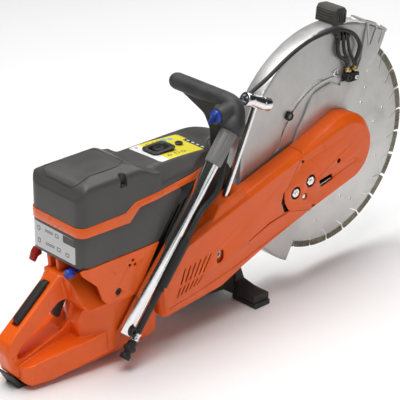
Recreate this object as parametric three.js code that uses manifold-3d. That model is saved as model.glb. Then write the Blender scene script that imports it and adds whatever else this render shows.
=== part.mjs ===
// Rescue saw: a petrol cut-off saw with a 400 mm diamond blade on a belt driven cutting arm.
// Millimetres. X points forward along the saw, Y to its left, Z up. The working origin of every
// function below is the centre of the blade; the finished group is moved so that the saw stands
// on Z = 0 with the middle of its bounding box over the origin.

import * as THREE from 'three';
import { mergeVertices } from 'three/addons/utils/BufferGeometryUtils.js';
import Module from 'manifold-3d';

const wasm = await Module();
wasm.setup();

// ---------------------------------------------------------------- driving dimensions

const GAP = 0.4;                      // clearance between pieces that touch
const WALL = 3;                       // moulded and cast wall

const SPINDLE_HEIGHT = 235;           // spindle axis above the floor
const ORIGIN_X = -259;                // middle of the bounding box, from the spindle
const ORIGIN_Y = 20;

const BLADE_RADIUS = 200;
const CORE_RADIUS = 189;
const CORE_THICKNESS = 3;
const SEGMENT_THICKNESS = 3.8;
const SEGMENT_COUNT = 28;
const SEGMENT_GAP = 5;
const SLOT_PHASE = 3.2;               // degrees from +X to the first slot between segments
const SLOT_LENGTH = 18;
const SLOT_LEAN = 0.2;                // degrees for each mm inward
const ARBOR_RADIUS = 10;
const BLADE_HOLE_ROWS = [[152, 46], [128, 38], [105, 30]];   // radius, angle of the first hole
const BLADE_HOLE_COUNT = 10;
const BLADE_HOLE_RADIUS = 3;
const FLANGE_RADIUS = 52;

const ARM_TILT = THREE.MathUtils.degToRad(18.3);   // the arm rises forward by this angle
const ARM_LENGTH = 391;               // spindle to crankshaft
const ARM_OUTER_Y = -55;
const ARM_INNER_Y = -17.5;
const ARM_CAP_RADIUS = 68;
const ARM_CHAMFER = 5;
const COLLAR_NUTS = [97, 136];        // how far back along the arm

const SHAFT_RADIUS = 8.5;
const BEARING_RADIUS = 17.5;
const NECK_RADIUS = 24;
const FRONT_PULLEY_RADIUS = 48;
const DRUM_PULLEY_RADIUS = 26;
const BELT_THICKNESS = 3.2;
const BELT_FROM_Y = -44;
const BELT_TO_Y = -32;
const DRUM_RADIUS = 38;

const GUARD_RADIUS = 226;
const GUARD_NEAR_Y = -14;
const GUARD_FAR_Y = 24;
const GUARD_SHEET = 2.5;
const GUARD_LIP_RADIUS = 196;
const GUARD_FROM = 54;                // degrees from +X towards +Z
const GUARD_TO = 241;
const GUARD_STEPS = 28;

const BODY_CENTRE_Y = 27;             // middle plane of the engine body
const BODY_RIGHT_Y = -42;
const BODY_LEFT_Y = 2 * BODY_CENTRE_Y - BODY_RIGHT_Y;

const GRIP_RADIUS = 15;
const GRIP_X = -267;
const GRIP_Z = 160;
const GRIP_END_Y = 100;              // centre of the rounded end of the grip
const TAP_Y = -38;                   // water tap, on the back of the grip's corner
const TAP_Z = 146;
const TUBE_RADIUS = 12.5;
const TUBE_BORE = 10.5;
const TUBE_Y = -52;
const TUBE_TOP = [-276, TUBE_Y, 136];
const TUBE_END = [-526, TUBE_Y, -174];
const COLLAR_RADIUS = 20.5;           // grip collar round the top of the tube
const COLLAR_LENGTH = 21;
const HOSE_RADIUS = 5.5;
const HOSE_AHEAD = 15;                // supply hose, forward of the tube and out from it
const HOSE_OUT = 12;
const GUARD_HOSE_RADIUS = 3.6;

const WRENCH_Y = -36;
const WRENCH_HEAD = [-212, WRENCH_Y, 147];
const WRENCH_FOOT = [-283, WRENCH_Y, -5];
const WRENCH_ROD_RADIUS = 5.5;
const WRENCH_POCKET_RADIUS = 7.5;

const CYLINDER_X = -371;              // cylinder bore, square to the crankshaft
const CYLINDER_Y = 26;
const CYLINDER_BORE = 21;
const FIN_COUNT = 9;
const FIN_PITCH = 10;
const FIN_THICKNESS = 2.5;
const FLYWHEEL_VANES = 10;
const LOUVRE_PITCH = 12;
const FILLER = [-500, -160];          // x, z of the fuel filler

// ---------------------------------------------------------------- finishes

const FINISH = {
  orange: [0xe8682c, 0.38, 0.0],
  darkGrey: [0x4f4d4a, 0.55, 0.0],
  black: [0x232322, 0.7, 0.0],
  rubber: [0x1d1d1c, 0.9, 0.0],
  guardGrey: [0xa8a39d, 0.42, 0.55],
  steel: [0xb9b8b4, 0.3, 0.95],
  diamond: [0x8c8574, 0.65, 0.6],
  chrome: [0xdadada, 0.12, 1.0],
  cast: [0x8f9090, 0.5, 0.8],
  brass: [0xb8a070, 0.3, 0.9],
  blue: [0x1f3f9e, 0.35, 0.0],
  red: [0xa8231c, 0.4, 0.0],
  paper: [0xd9d4c2, 0.8, 0.0],
};

function material(finish) {
  const [color, roughness, metalness] = FINISH[finish];
  return new THREE.MeshStandardMaterial({ color, roughness, metalness });
}

// ---------------------------------------------------------------- shape helpers

const degrees = THREE.MathUtils.degToRad;

function toSolid(geometry) {
  const bare = geometry.index ? geometry.toNonIndexed() : geometry.clone();
  bare.deleteAttribute('normal');
  bare.deleteAttribute('uv');
  const merged = mergeVertices(bare, 1e-4);
  return new wasm.Manifold(new wasm.Mesh({
    numProp: 3,
    vertProperties: new Float32Array(merged.attributes.position.array),
    triVerts: new Uint32Array(merged.index.array),
  }));
}

function toGeometry(solid) {
  const mesh = solid.getMesh();
  const geometry = new THREE.BufferGeometry();
  const positions = new Float32Array(mesh.vertProperties);
  geometry.setAttribute('position', new THREE.BufferAttribute(positions, 3));
  geometry.setIndex(new THREE.BufferAttribute(new Uint32Array(mesh.triVerts), 1));
  geometry.computeVertexNormals();
  return geometry;
}

function join(...solids) {
  return solids.reduce((whole, solid) => whole.add(solid));
}

function cut(solid, ...tools) {
  return tools.reduce((rest, tool) => rest.subtract(tool), solid);
}

function shapeOf(points) {
  return new THREE.Shape(points.map(([u, v]) => new THREE.Vector2(u, v)));
}

// Extrusion of an outline of [x, z] points from one Y to another.
function plate(points, fromY, toY) {
  const options = { depth: toY - fromY, bevelEnabled: false };
  const geometry = new THREE.ExtrudeGeometry(shapeOf(points), options);
  geometry.rotateX(Math.PI / 2);
  geometry.translate(0, toY, 0);
  return toSolid(geometry);
}

// The same with a chamfer along the edges of its low Y face.
function chamferedPlate(points, fromY, toY, chamfer) {
  const options = {
    depth: toY - fromY, bevelEnabled: true, bevelSegments: 1,
    bevelSize: chamfer, bevelThickness: chamfer, bevelOffset: -chamfer,
  };
  const geometry = new THREE.ExtrudeGeometry(shapeOf(points), options);
  geometry.rotateX(Math.PI / 2);
  geometry.translate(0, toY + chamfer, 0);
  return toSolid(geometry).subtract(box([-2000, 2000], [toY, toY + 100], [-2000, 2000]));
}

// Extrusion of an outline of [x, y] points from one Z to another.
function column(points, fromZ, toZ) {
  const options = { depth: toZ - fromZ, bevelEnabled: false };
  const geometry = new THREE.ExtrudeGeometry(shapeOf(points), options);
  geometry.translate(0, 0, fromZ);
  return toSolid(geometry);
}

// Extrusion of an outline of [y, z] points from one X to another.
function beam(points, fromX, toX) {
  const options = { depth: toX - fromX, bevelEnabled: false };
  const geometry = new THREE.ExtrudeGeometry(shapeOf(points), options);
  const axes = new THREE.Matrix4().makeBasis(
    new THREE.Vector3(0, 1, 0), new THREE.Vector3(0, 0, 1), new THREE.Vector3(1, 0, 0));
  geometry.applyMatrix4(axes);
  geometry.translate(fromX, 0, 0);
  return toSolid(geometry);
}

function slabY(fromY, toY) {
  return box([-900, 900], [fromY, toY], [-900, 900]);
}

function box([x0, x1], [y0, y1], [z0, z1]) {
  const geometry = new THREE.BoxGeometry(x1 - x0, y1 - y0, z1 - z0);
  geometry.translate((x0 + x1) / 2, (y0 + y1) / 2, (z0 + z1) / 2);
  return toSolid(geometry);
}

// A profile of [radius, distance] pairs turned about the line from a point along a direction.
function turned(profile, [x, y, z], [dx, dy, dz], sides = 20) {
  const points = profile.map(([radius, distance]) => new THREE.Vector2(radius, distance));
  const geometry = new THREE.LatheGeometry(points, sides);
  const turn = new THREE.Quaternion().setFromUnitVectors(
    new THREE.Vector3(0, 1, 0), new THREE.Vector3(dx, dy, dz).normalize());
  geometry.applyQuaternion(turn);
  geometry.translate(x, y, z);
  return toSolid(geometry);
}

function disc(radius, from, to, sides = 20) {
  const start = new THREE.Vector3(...from);
  const along = new THREE.Vector3(...to).sub(start);
  const length = along.length();
  const profile = [[0, 0], [radius, 0], [radius, length], [0, length]];
  return turned(profile, from, along.toArray(), sides);
}

function discY(radius, x, z, fromY, toY, sides = 20) {
  return disc(radius, [x, fromY, z], [x, toY, z], sides);
}

// A round bar bent through a list of points.
function bar(points, radius, steps, sides = 10) {
  const vectors = points.map((point) => new THREE.Vector3(...point));
  const curve = new THREE.CatmullRomCurve3(vectors, false, 'centripetal');
  const section = shapeOf(arc(0, 0, radius, 0, 360 - 360 / sides, sides - 1));
  const geometry = new THREE.ExtrudeGeometry(section, { steps, extrudePath: curve, bevelEnabled: false });
  return toSolid(geometry);
}

// Points on an arc about (u, v), angles in degrees.
function arc(u, v, radius, from, to, steps) {
  return Array.from({ length: steps + 1 }, (_, i) => {
    const angle = degrees(from + (to - from) * i / steps);
    return [u + radius * Math.cos(angle), v + radius * Math.sin(angle)];
  });
}

// Outline of a ring sector about the spindle.
function sector(inner, outer, from, to, steps) {
  return [...arc(0, 0, outer, from, to, steps), ...arc(0, 0, inner, to, from, steps)];
}

// Arm coordinates: a mm back from the spindle along the arm, b mm square to it, upward.
function onArm(a, b) {
  return [
    -a * Math.cos(ARM_TILT) - b * Math.sin(ARM_TILT),
    -a * Math.sin(ARM_TILT) + b * Math.cos(ARM_TILT),
  ];
}

const [CRANK_X, CRANK_Z] = onArm(ARM_LENGTH, 0);

// A point on the front handle tube: distance down from its top, forward of it and out to the right.
function onTube(down, ahead = 0, out = 0) {
  const length = Math.hypot(TUBE_END[0] - TUBE_TOP[0], TUBE_END[2] - TUBE_TOP[2]);
  const cosine = (TUBE_END[0] - TUBE_TOP[0]) / length;
  const sine = (TUBE_END[2] - TUBE_TOP[2]) / length;
  return [
    TUBE_TOP[0] + cosine * down - sine * ahead,
    TUBE_Y - out,
    TUBE_TOP[2] + sine * down + cosine * ahead,
  ];
}

const saw = new THREE.Group();

function addPart(name, solid, finish) {
  const mesh = new THREE.Mesh(toGeometry(solid), material(finish));
  mesh.name = name;
  saw.add(mesh);
}

// ---------------------------------------------------------------- blade and spindle

function bladeSolid() {
  const pitch = 360 / SEGMENT_COUNT;
  const half = THREE.MathUtils.radToDeg(SEGMENT_GAP / 2 / BLADE_RADIUS);
  const rim = arc(0, 0, CORE_RADIUS, SLOT_PHASE, SLOT_PHASE + 360 - pitch / 2, 2 * SEGMENT_COUNT - 1);
  let blade = plate(rim, -CORE_THICKNESS / 2, CORE_THICKNESS / 2);
  for (let i = 0; i < SEGMENT_COUNT; i += 1) {
    const start = SLOT_PHASE + i * pitch;
    const outline = sector(CORE_RADIUS - 1, BLADE_RADIUS, start + half, start + pitch - half, 2);
    blade = blade.add(plate(outline, -SEGMENT_THICKNESS / 2, SEGMENT_THICKNESS / 2));
  }
  for (let i = 0; i < SEGMENT_COUNT; i += 1) {
    const start = SLOT_PHASE + i * pitch;
    const slot = sector(CORE_RADIUS - SLOT_LENGTH, CORE_RADIUS + 2, start - 0.5, start + 0.5, 1);
    const leaned = slot.map(([u, v]) => {
      const radius = Math.hypot(u, v);
      const angle = Math.atan2(v, u) - degrees(SLOT_LEAN * (CORE_RADIUS + 2 - radius));
      return [radius * Math.cos(angle), radius * Math.sin(angle)];
    });
    blade = blade.subtract(plate(leaned, -CORE_THICKNESS, CORE_THICKNESS));
  }
  const holes = [];
  for (const [radius, first] of BLADE_HOLE_ROWS) {
    for (let i = 0; i < BLADE_HOLE_COUNT; i += 1) {
      const [[x, z]] = arc(0, 0, radius, first + i * 360 / BLADE_HOLE_COUNT, 0, 1);
      holes.push(discY(BLADE_HOLE_RADIUS, x, z, -CORE_THICKNESS, CORE_THICKNESS, 6));
    }
  }
  return cut(blade, discY(ARBOR_RADIUS + GAP, 0, 0, -CORE_THICKNESS, CORE_THICKNESS), ...holes);
}

function addBladeUnit() {
  addPart('blade', bladeSolid(), 'steel');
  const seat = CORE_THICKNESS / 2 + GAP;
  const flange = (near, far) => cut(
    discY(FLANGE_RADIUS, 0, 0, near, far), discY(ARBOR_RADIUS + GAP, 0, 0, near - 1, far + 1));
  addPart('blade_flange_inner', flange(-8, -seat), 'steel');
  addPart('blade_flange_outer', flange(seat, 8), 'steel');
  const spindle = turned([
    [0, -49], [SHAFT_RADIUS, -49], [SHAFT_RADIUS, -8.6], [ARBOR_RADIUS, -8.6], [ARBOR_RADIUS, 7.5],
    [5.4, 7.5], [5.4, -20], [0, -20],
  ], [0, 0, 0], [0, 1, 0]);
  addPart('spindle', spindle, 'steel');
  const bolt = join(discY(5, 0, 0, -15, 9, 16), discY(11, 0, 0, 8 + GAP, 16, 6));
  addPart('blade_bolt', bolt, 'steel');
  const pulley = turned([
    [SHAFT_RADIUS + 0.3, -46], [50, -46], [50, BELT_FROM_Y - 0.3],
    [FRONT_PULLEY_RADIUS, BELT_FROM_Y - 0.3], [FRONT_PULLEY_RADIUS, BELT_TO_Y + 0.3],
    [50, BELT_TO_Y + 0.3], [50, -30], [40, -30], [40, -40], [16, -40], [16, -28],
    [SHAFT_RADIUS + 0.3, -28], [SHAFT_RADIUS + 0.3, -46],
  ], [0, 0, 0], [0, 1, 0]);
  addPart('front_pulley', pulley, 'cast');
}

// ---------------------------------------------------------------- cutting arm

const SEAM = [[97, 62], [107, 42], [158, 21], [165, -18], [155, -27], [113, -54], [98, -66]];

// Side outline of the covered arm, drawn in by an inset.
function armOutline(inset) {
  const cap = ARM_CAP_RADIUS - inset;
  const tip = arc(0, 0, cap, 80, -84, 14).map(([u, v]) => onArm(-u, v));
  const rear = [
    [114, -60 + inset], [222, -58 + inset], [290, -60 + inset], [342, -64 + inset],
    [474 - inset, -36 + inset], [463 - inset, 24], [412 - inset, 70 - inset], [330, 70 - inset],
    [97, 64 - inset],
  ].map(([a, b]) => onArm(a, b));
  return [...tip, ...rear];
}

function armRegion(points) {
  return plate(points.map(([a, b]) => onArm(a, b)), -100, 100);
}

function addCuttingArm() {
  const neck = discY(NECK_RADIUS, 0, 0, -22, -9);
  const casting = cut(
    join(plate(armOutline(WALL + 1), -26, -19), neck),
    discY(BEARING_RADIUS + 0.3, 0, 0, -30, 0),
    discY(DRUM_RADIUS + 3, CRANK_X, CRANK_Z, -30, 0),
    ...[-5, 5].map((b) => armRegion([[175, b - 2], [175, b + 2], [225, b + 2], [225, b - 2]])),
  );
  addPart('cutting_arm', casting, 'cast');
  const bearing = (near, far) => cut(
    discY(BEARING_RADIUS, 0, 0, near, far, 16),
    discY(SHAFT_RADIUS + 0.3, 0, 0, near - 1, far + 1, 16));
  addPart('bearing_pulley_side', bearing(-25.5, -18.5), 'steel');
  addPart('bearing_blade_side', bearing(-16.5, -9.5), 'steel');

  const shell = cut(
    chamferedPlate(armOutline(0), ARM_OUTER_Y, ARM_INNER_Y, ARM_CHAMFER),
    plate(armOutline(WALL), ARM_OUTER_Y + WALL, 0),
  );
  const aheadOf = (line) => armRegion([
    [line[0][0], 120], ...line, [line[line.length - 1][0], -120], [-150, -120], [-150, 120],
  ]);
  const seamAhead = aheadOf(SEAM);
  const seamBehind = aheadOf(SEAM.map(([a, b]) => [a + GAP + 0.2, b]));
  const nutHoles = COLLAR_NUTS.map((a) => {
    const [x, z] = onArm(a, 0);
    return discY(12, x, z, ARM_OUTER_Y - 5, ARM_INNER_Y, 16);
  });
  addPart('arm_front_cover', cut(shell.intersect(seamAhead), ...nutHoles), 'orange');

  const boss = cut(
    armRegion([[236, 66], [236, 84], [300, 84], [326, 66]]).intersect(slabY(-50, -18)),
    disc(WRENCH_POCKET_RADIUS, WRENCH_FOOT, WRENCH_HEAD, 12),
  );
  const rearCover = cut(shell, seamBehind, plate(armOutline(WALL), ARM_OUTER_Y + WALL, 0));
  const [screwX, screwZ] = onArm(328, 0);
  const screwRecess = discY(9, screwX, screwZ, ARM_OUTER_Y - 5, -50, 16);
  const louvres = [];
  for (let row = 0; row < 2; row += 1) {
    for (let i = 0; i < 7; i += 1) {
      const a = 352 + (i + row) * LOUVRE_PITCH;
      const b = 34 - row * 34;
      const slot = armRegion([[a, b - 13], [a + 3, b - 13], [a + 9, b + 13], [a + 6, b + 13]]);
      louvres.push(slot.intersect(slabY(-60, -45)));
    }
  }
  addPart('belt_guard', cut(join(rearCover, boss), screwRecess, ...louvres), 'orange');

  ['arm_nut_front', 'arm_nut_rear'].forEach((name, i) => {
    const [x, z] = onArm(COLLAR_NUTS[i], 0);
    addPart(name, join(discY(8.5, x, z, -56, -47, 6), discY(4, x, z, -48, -27, 8)), 'steel');
  });
  addPart('belt_tension_screw', join(
    discY(6, screwX, screwZ, -51.5, -46, 12), discY(3, screwX, screwZ, -47, -27, 8)), 'steel');

  addPart('drive_belt', beltSolid(), 'rubber');
}

// The belt: two arcs about the pulleys joined by their outer tangents.
function beltSolid() {
  const slope = Math.asin((FRONT_PULLEY_RADIUS - DRUM_PULLEY_RADIUS) / ARM_LENGTH);
  const spread = THREE.MathUtils.radToDeg(slope);
  const loop = (extra) => {
    const front = arc(0, 0, FRONT_PULLEY_RADIUS + extra, 90 + spread, -90 - spread, 18);
    const back = arc(-ARM_LENGTH, 0, DRUM_PULLEY_RADIUS + extra, -90 - spread, -270 + spread, 14);
    return [...front, ...back].map(([u, v]) => onArm(-u, v));
  };
  return cut(plate(loop(BELT_THICKNESS + 0.3), BELT_FROM_Y, BELT_TO_Y), plate(loop(0.3), -60, -20));
}

// ---------------------------------------------------------------- blade guard

function addGuard() {
  const front = [
    [22, 40], [45, 92], [62, 115], [95, 128], [108, 140], [119, 156], [134, 184],
  ];
  const rim = arc(0, 0, GUARD_RADIUS, GUARD_FROM, GUARD_TO, GUARD_STEPS);
  const heel = [[-92, -166], [-30, -54]];
  const hub = arc(0, 0, 48, 250, 420, 12);
  const web = plate([...front, ...rim, ...heel, ...hub], GUARD_NEAR_Y, GUARD_NEAR_Y + GUARD_SHEET);
  const band = (inner, near, far) => plate(
    sector(inner, GUARD_RADIUS, GUARD_FROM, GUARD_TO, GUARD_STEPS), near, far);
  const skirt = band(GUARD_RADIUS - GUARD_SHEET, GUARD_NEAR_Y, GUARD_FAR_Y);
  const lip = band(GUARD_LIP_RADIUS, GUARD_FAR_Y - GUARD_SHEET, GUARD_FAR_Y);
  const browOutline = sector(GUARD_RADIUS - 1, GUARD_RADIUS + 6, GUARD_FROM - 1, 70, 5);
  const brow = plate(browOutline, GUARD_NEAR_Y, GUARD_FAR_Y);
  const shell = cut(join(web, skirt, lip, brow), discY(NECK_RADIUS + 2, 0, 0, -30, 0));
  addPart('guard_shell', shell, 'guardGrey');

  const rest = [[-4, 222], [-1, 250], [5, 256], [25, 253.6], [30, 247], [27, 219]];
  const handle = plate(rest, -16, 32);
  addPart('guard_handle', cut(handle, discY(GUARD_RADIUS + GAP, 0, 0, -40, 40, 72)), 'black');

  const blockY = [GUARD_NEAR_Y - 14, GUARD_NEAR_Y - GAP];
  const block = [
    [24, 131.7], [22, 120], [27, 115], [48, 114], [54, 118], [54, 129.3], [40, 129.8], [37, 131.7],
  ];
  addPart('guard_valve_block', plate(block, ...blockY), 'black');
  const nipple = (x, z, dx, dz) => disc(5, [x, -21, z], [x + dx, -21, z + dz], 6);
  addPart('guard_nipple_lower', nipple(31.5, 133.2, -2.5, 10), 'brass');
  addPart('guard_nipple_upper', nipple(46, 131.2, 2, 10), 'brass');

  addPart('guard_hose_outer', bar([
    [-236, -18, 150], [-217, -18.3, 152], [-196, -18.3, 161], [-169, -18.3, 172], [-126, -18.3, 194],
    [-91, -18.3, 208], [-59, -18.3, 216], [-18, -19, 219.5], [13, -21, 216], [42, -22, 201],
    [58, -22, 178], [54, -22, 160], [50.3, -21.2, 152], [48.2, -21, 142],
  ], GUARD_HOSE_RADIUS, 34, 8), 'rubber');
  addPart('guard_hose_inner', bar([
    [8, -18.5, 207], [5, -19, 196], [3, -20, 182], [8, -21, 168], [20, -21, 160],
    [26.5, -21, 152.4], [28.6, -21, 144],
  ], GUARD_HOSE_RADIUS, 14, 8), 'rubber');
}

// ---------------------------------------------------------------- engine

// A cylinder on the bore axis from one Z to another.
function boreDisc(radius, fromZ, toZ) {
  return disc(radius, [CYLINDER_X, CYLINDER_Y, fromZ], [CYLINDER_X, CYLINDER_Y, toZ]);
}

function addEngine() {
  const caseSide = [
    [-480, -100], [-440, -100], [-440, -170], [-420, -185], [-310, -185], [-262, -130], [-262, -66],
    [-440, -66], [-480, -78],
  ];
  const crankcase = cut(
    plate(caseSide, -2, 56),
    discY(12, CRANK_X, CRANK_Z, -10, 70),
    discY(34, CRANK_X, CRANK_Z, 12, 42),
    boreDisc(CYLINDER_BORE, -110, -50),
  );
  addPart('crankcase', crankcase, 'cast');

  const fins = [];
  for (let i = 0; i < FIN_COUNT; i += 1) {
    const low = -50 + i * FIN_PITCH;
    fins.push(box([-405, -337], [-8, 60], [low, low + FIN_THICKNESS]));
  }
  const cylinder = cut(
    join(box([-396, -346], [1, 51], [-66 + GAP, 46]), ...fins),
    boreDisc(CYLINDER_BORE, -70, 34),
    disc(8.5, [-378, CYLINDER_Y, 38], [-378, CYLINDER_Y, 60], 16),
    disc(5.5, [-354, CYLINDER_Y, 38], [-354, CYLINDER_Y, 60], 12),
  );
  addPart('cylinder', cylinder, 'cast');

  const can = cut(
    plate([[-332, -50], [-275, -50], [-268, -42], [-268, 28], [-278, 36], [-332, 36]], 0, 54),
    box([-329, -272], [3, 51], [-44, 28]),
    disc(9, [-290, 40, -10], [-290, 70, -10], 16),
  );
  addPart('muffler', can, 'cast');

  const carburettor = cut(
    join(box([-448, -412], [8, 44], [-26, 10]), disc(14, [-456, 26, -8], [-406, 26, -8], 20)),
    disc(9, [-460, 26, -8], [-400, 26, -8], 16),
  );
  addPart('carburettor', carburettor, 'cast');

  const pleats = [];
  for (let i = 0; i < 9; i += 1) {
    pleats.push(box([-560 + i * 9, -556 + i * 9], [-24, 78], [52, 70]));
  }
  const filter = cut(
    box([-572, -474], [-20, 74], [-24, 66]), ...pleats, disc(13, [-490, 26, -8], [-460, 26, -8], 20));
  addPart('air_filter', filter, 'paper');

  addPart('spark_plug', turned([
    [0, 0], [5, 0], [5, 6], [9, 6], [9, 12], [5, 12], [5, 24], [2.5, 24], [2.5, 30], [0, 30],
  ], [-354, CYLINDER_Y, 40.4], [0, 0, 1], 12), 'steel');
  addPart('decompression_knob', turned([
    [0, 0], [8, 0], [8, 38], [11, 41], [11, 47], [8, 50], [0, 50],
  ], [-378, CYLINDER_Y, 43], [0, 0, 1]), 'black');

  addPart('crankshaft', cut(
    discY(8, CRANK_X, CRANK_Z, -49, 80), discY(2.5, CRANK_X, CRANK_Z, 70, 90, 10)), 'steel');
  const clutchShoes = [0, 120, 240].map((turn) => {
    const outline = [...arc(0, 0, 34, 8, 112, 6), ...arc(0, 0, 22, 112, 8, 4)];
    const shoe = outline.map(([u, v]) => {
      const angle = Math.atan2(v, u) + degrees(turn);
      const radius = Math.hypot(u, v);
      return [CRANK_X + radius * Math.cos(angle), CRANK_Z + radius * Math.sin(angle)];
    });
    return plate(shoe, -20, -6);
  });
  addPart('clutch_hub', cut(
    join(discY(23, CRANK_X, CRANK_Z, -18, -8), ...clutchShoes),
    discY(8.3, CRANK_X, CRANK_Z, -30, 0)), 'cast');
  const drum = turned([
    [8.3, -46], [28, -46], [28, BELT_FROM_Y - 0.3], [DRUM_PULLEY_RADIUS, BELT_FROM_Y - 0.3],
    [DRUM_PULLEY_RADIUS, BELT_TO_Y + 0.3], [28, BELT_TO_Y + 0.3], [28, -28], [DRUM_RADIUS, -28],
    [DRUM_RADIUS, -4], [35, -4], [35, -25], [8.3, -25], [8.3, -46],
  ], [CRANK_X, 0, CRANK_Z], [0, 1, 0]);
  addPart('clutch_drum', drum, 'cast');

  const vanes = [];
  for (let i = 0; i < FLYWHEEL_VANES; i += 1) {
    const turn = i * 360 / FLYWHEEL_VANES;
    const [[x0, z0]] = arc(CRANK_X, CRANK_Z, 26, turn, 0, 1);
    const [[x1, z1]] = arc(CRANK_X, CRANK_Z, 50, turn - 12, 0, 1);
    const along = Math.hypot(x1 - x0, z1 - z0);
    const [nx, nz] = [-(z1 - z0) / along * 1.2, (x1 - x0) / along * 1.2];
    const vane = [[x0 - nx, z0 - nz], [x1 - nx, z1 - nz], [x1 + nx, z1 + nz], [x0 + nx, z0 + nz]];
    vanes.push(plate(vane, 68, 82));
  }
  addPart('flywheel', cut(
    join(discY(52, CRANK_X, CRANK_Z, 62, 69), ...vanes),
    discY(8.3, CRANK_X, CRANK_Z, 50, 100)), 'cast');
}

// ---------------------------------------------------------------- body shells

// Plan outline of the upper body, drawn in by an inset.
function bodyPlan(inset) {
  const right = BODY_RIGHT_Y + inset;
  const left = BODY_LEFT_Y - inset;
  const back = -602 + inset;
  return [
    [back, right + 12], [back + 12, right], [-440, right], [-355, right + 8],
    [-298 - inset, -14 + inset / 2], [-268, 22 + inset], [-215 - inset, 42 + inset / 2],
    [-203 - inset, 62], [-215 - inset, 84 - inset / 2], [-262, 92 - inset],
    [-355, left - 1], [-440, left], [back + 12, left], [back, left - 12],
  ];
}

// Side outline of the joint lines between the shells, rear to front.
const TRIM_TOP = [[-620, 36], [-508, 37], [-488, 50], [-361, 57], [-190, 57]];
const TRIM_BOTTOM = [[-190, 44], [-372, 44], [-478, 38], [-500, 17], [-620, 19]];

function addBodyShells() {
  const lift = ([x, z]) => [x, z + GAP];
  const roof = (drop) => [
    [-203 - drop, 52], [-212 - drop, 62 - drop], [-240, 73 - drop], [-300, 81 - drop],
    [-400, 87 - drop], [-445 - drop / 2, 89 - drop], [-470 - drop, 105 - drop],
    [-500, 110 - drop], [-540, 112 - drop], [-585, 104 - drop], [-602 + drop, 90 - drop],
  ];
  const below = [[-630, 0], [-180, 0]];
  const crown = (y) => 2 * BODY_CENTRE_Y - y;
  const section = [
    [BODY_RIGHT_Y - 5, -80], [BODY_RIGHT_Y - 5, 90], [BODY_RIGHT_Y + 12, 104], [BODY_CENTRE_Y - 30, 113],
    [BODY_CENTRE_Y + 30, 113], [crown(BODY_RIGHT_Y + 12), 104], [crown(BODY_RIGHT_Y - 5), 90],
    [crown(BODY_RIGHT_Y - 5), -80],
  ];
  const innerSection = section.map(([y, z]) => [y, z - WALL]);
  const roofSide = [...roof(0), [-640, 90], [-640, 0], [-180, 0], [-180, 52]];
  const solidCover = plate(roofSide, -150, 200)
    .intersect(column(bodyPlan(0), -80, 160))
    .intersect(beam(section, -700, -100));
  const hollow = plate([...roof(WALL), ...below], -150, 200)
    .intersect(column(bodyPlan(WALL), -90, 160))
    .intersect(beam(innerSection, -700, -100));
  const underTrimTop = plate([...TRIM_TOP.map(lift), [-190, -120], [-620, -120]], -200, 250);
  const recess = column(roundedRectangle(-376, 27, 46, 34, 9), 60, 120);
  const sightHole = column(roundedRectangle(-331, 27, 12, 8, 3), 60, 120);
  addPart('top_cover', cut(solidCover, hollow, underTrimTop, recess, sightHole), 'darkGrey');

  const ring = column(bodyPlan(0), -80, 160).subtract(column(bodyPlan(WALL), -90, 170));
  addPart('cover_trim', ring.intersect(plate([...TRIM_TOP, ...TRIM_BOTTOM], -150, 200)), 'orange');

  const housingSide = [
    ...TRIM_BOTTOM.slice(1).map(([x, z]) => [x, z - GAP]), [-620, -36], [-439, -36],
  ];
  const tray = plate(housingSide, -150, 200).intersect(column(bodyPlan(0), -80, 160));
  const trayHollow = column(bodyPlan(WALL), -36 + WALL, 160);
  const intake = disc(17, [-470, 26, -8], [-420, 26, -8]);
  addPart('filter_housing', cut(tray, trayHollow, intake), 'darkGrey');

  const sideOutline = [
    [-602, -38], [-600, -46], [-571, -74], [-561, -103], [-548, -115], [-488, -115], [-440, -37],
  ];
  const screwHole = discY(3, -528, -98, -60, -20, 10);
  addPart('side_cover', cut(
    chamferedPlate(sideOutline, BODY_RIGHT_Y - 1, BODY_RIGHT_Y + 4, 1.5), screwHole), 'orange');

  const starter = cut(
    discY(64, CRANK_X, CRANK_Z, 57, 100, 32),
    discY(61, CRANK_X, CRANK_Z, 50, 97, 32),
    ...[0, 45, 90, 135, 180, 225, 270, 315].map((turn) => {
      const vent = sector(24, 50, turn + 6, turn + 34, 2);
      return plate(vent.map(([u, v]) => [CRANK_X + u, CRANK_Z + v]), 90, 110);
    }),
  );
  addPart('starter_housing', starter, 'orange');
  const tee = join(
    box([-362, -352], [100.5, 112], [-66, -60]), box([-374, -340], [101, 113], [-60.5, -50]));
  addPart('starter_handle', tee, 'black');
}

function roundedRectangle(u, v, width, height, radius) {
  const [right, top] = [u + width / 2 - radius, v + height / 2 - radius];
  const [left, bottom] = [u - width / 2 + radius, v - height / 2 + radius];
  return [
    ...arc(right, top, radius, 0, 90, 3), ...arc(left, top, radius, 90, 180, 3),
    ...arc(left, bottom, radius, 180, 270, 3), ...arc(right, bottom, radius, 270, 360, 3),
  ];
}

// ---------------------------------------------------------------- tank and rear handle

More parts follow.
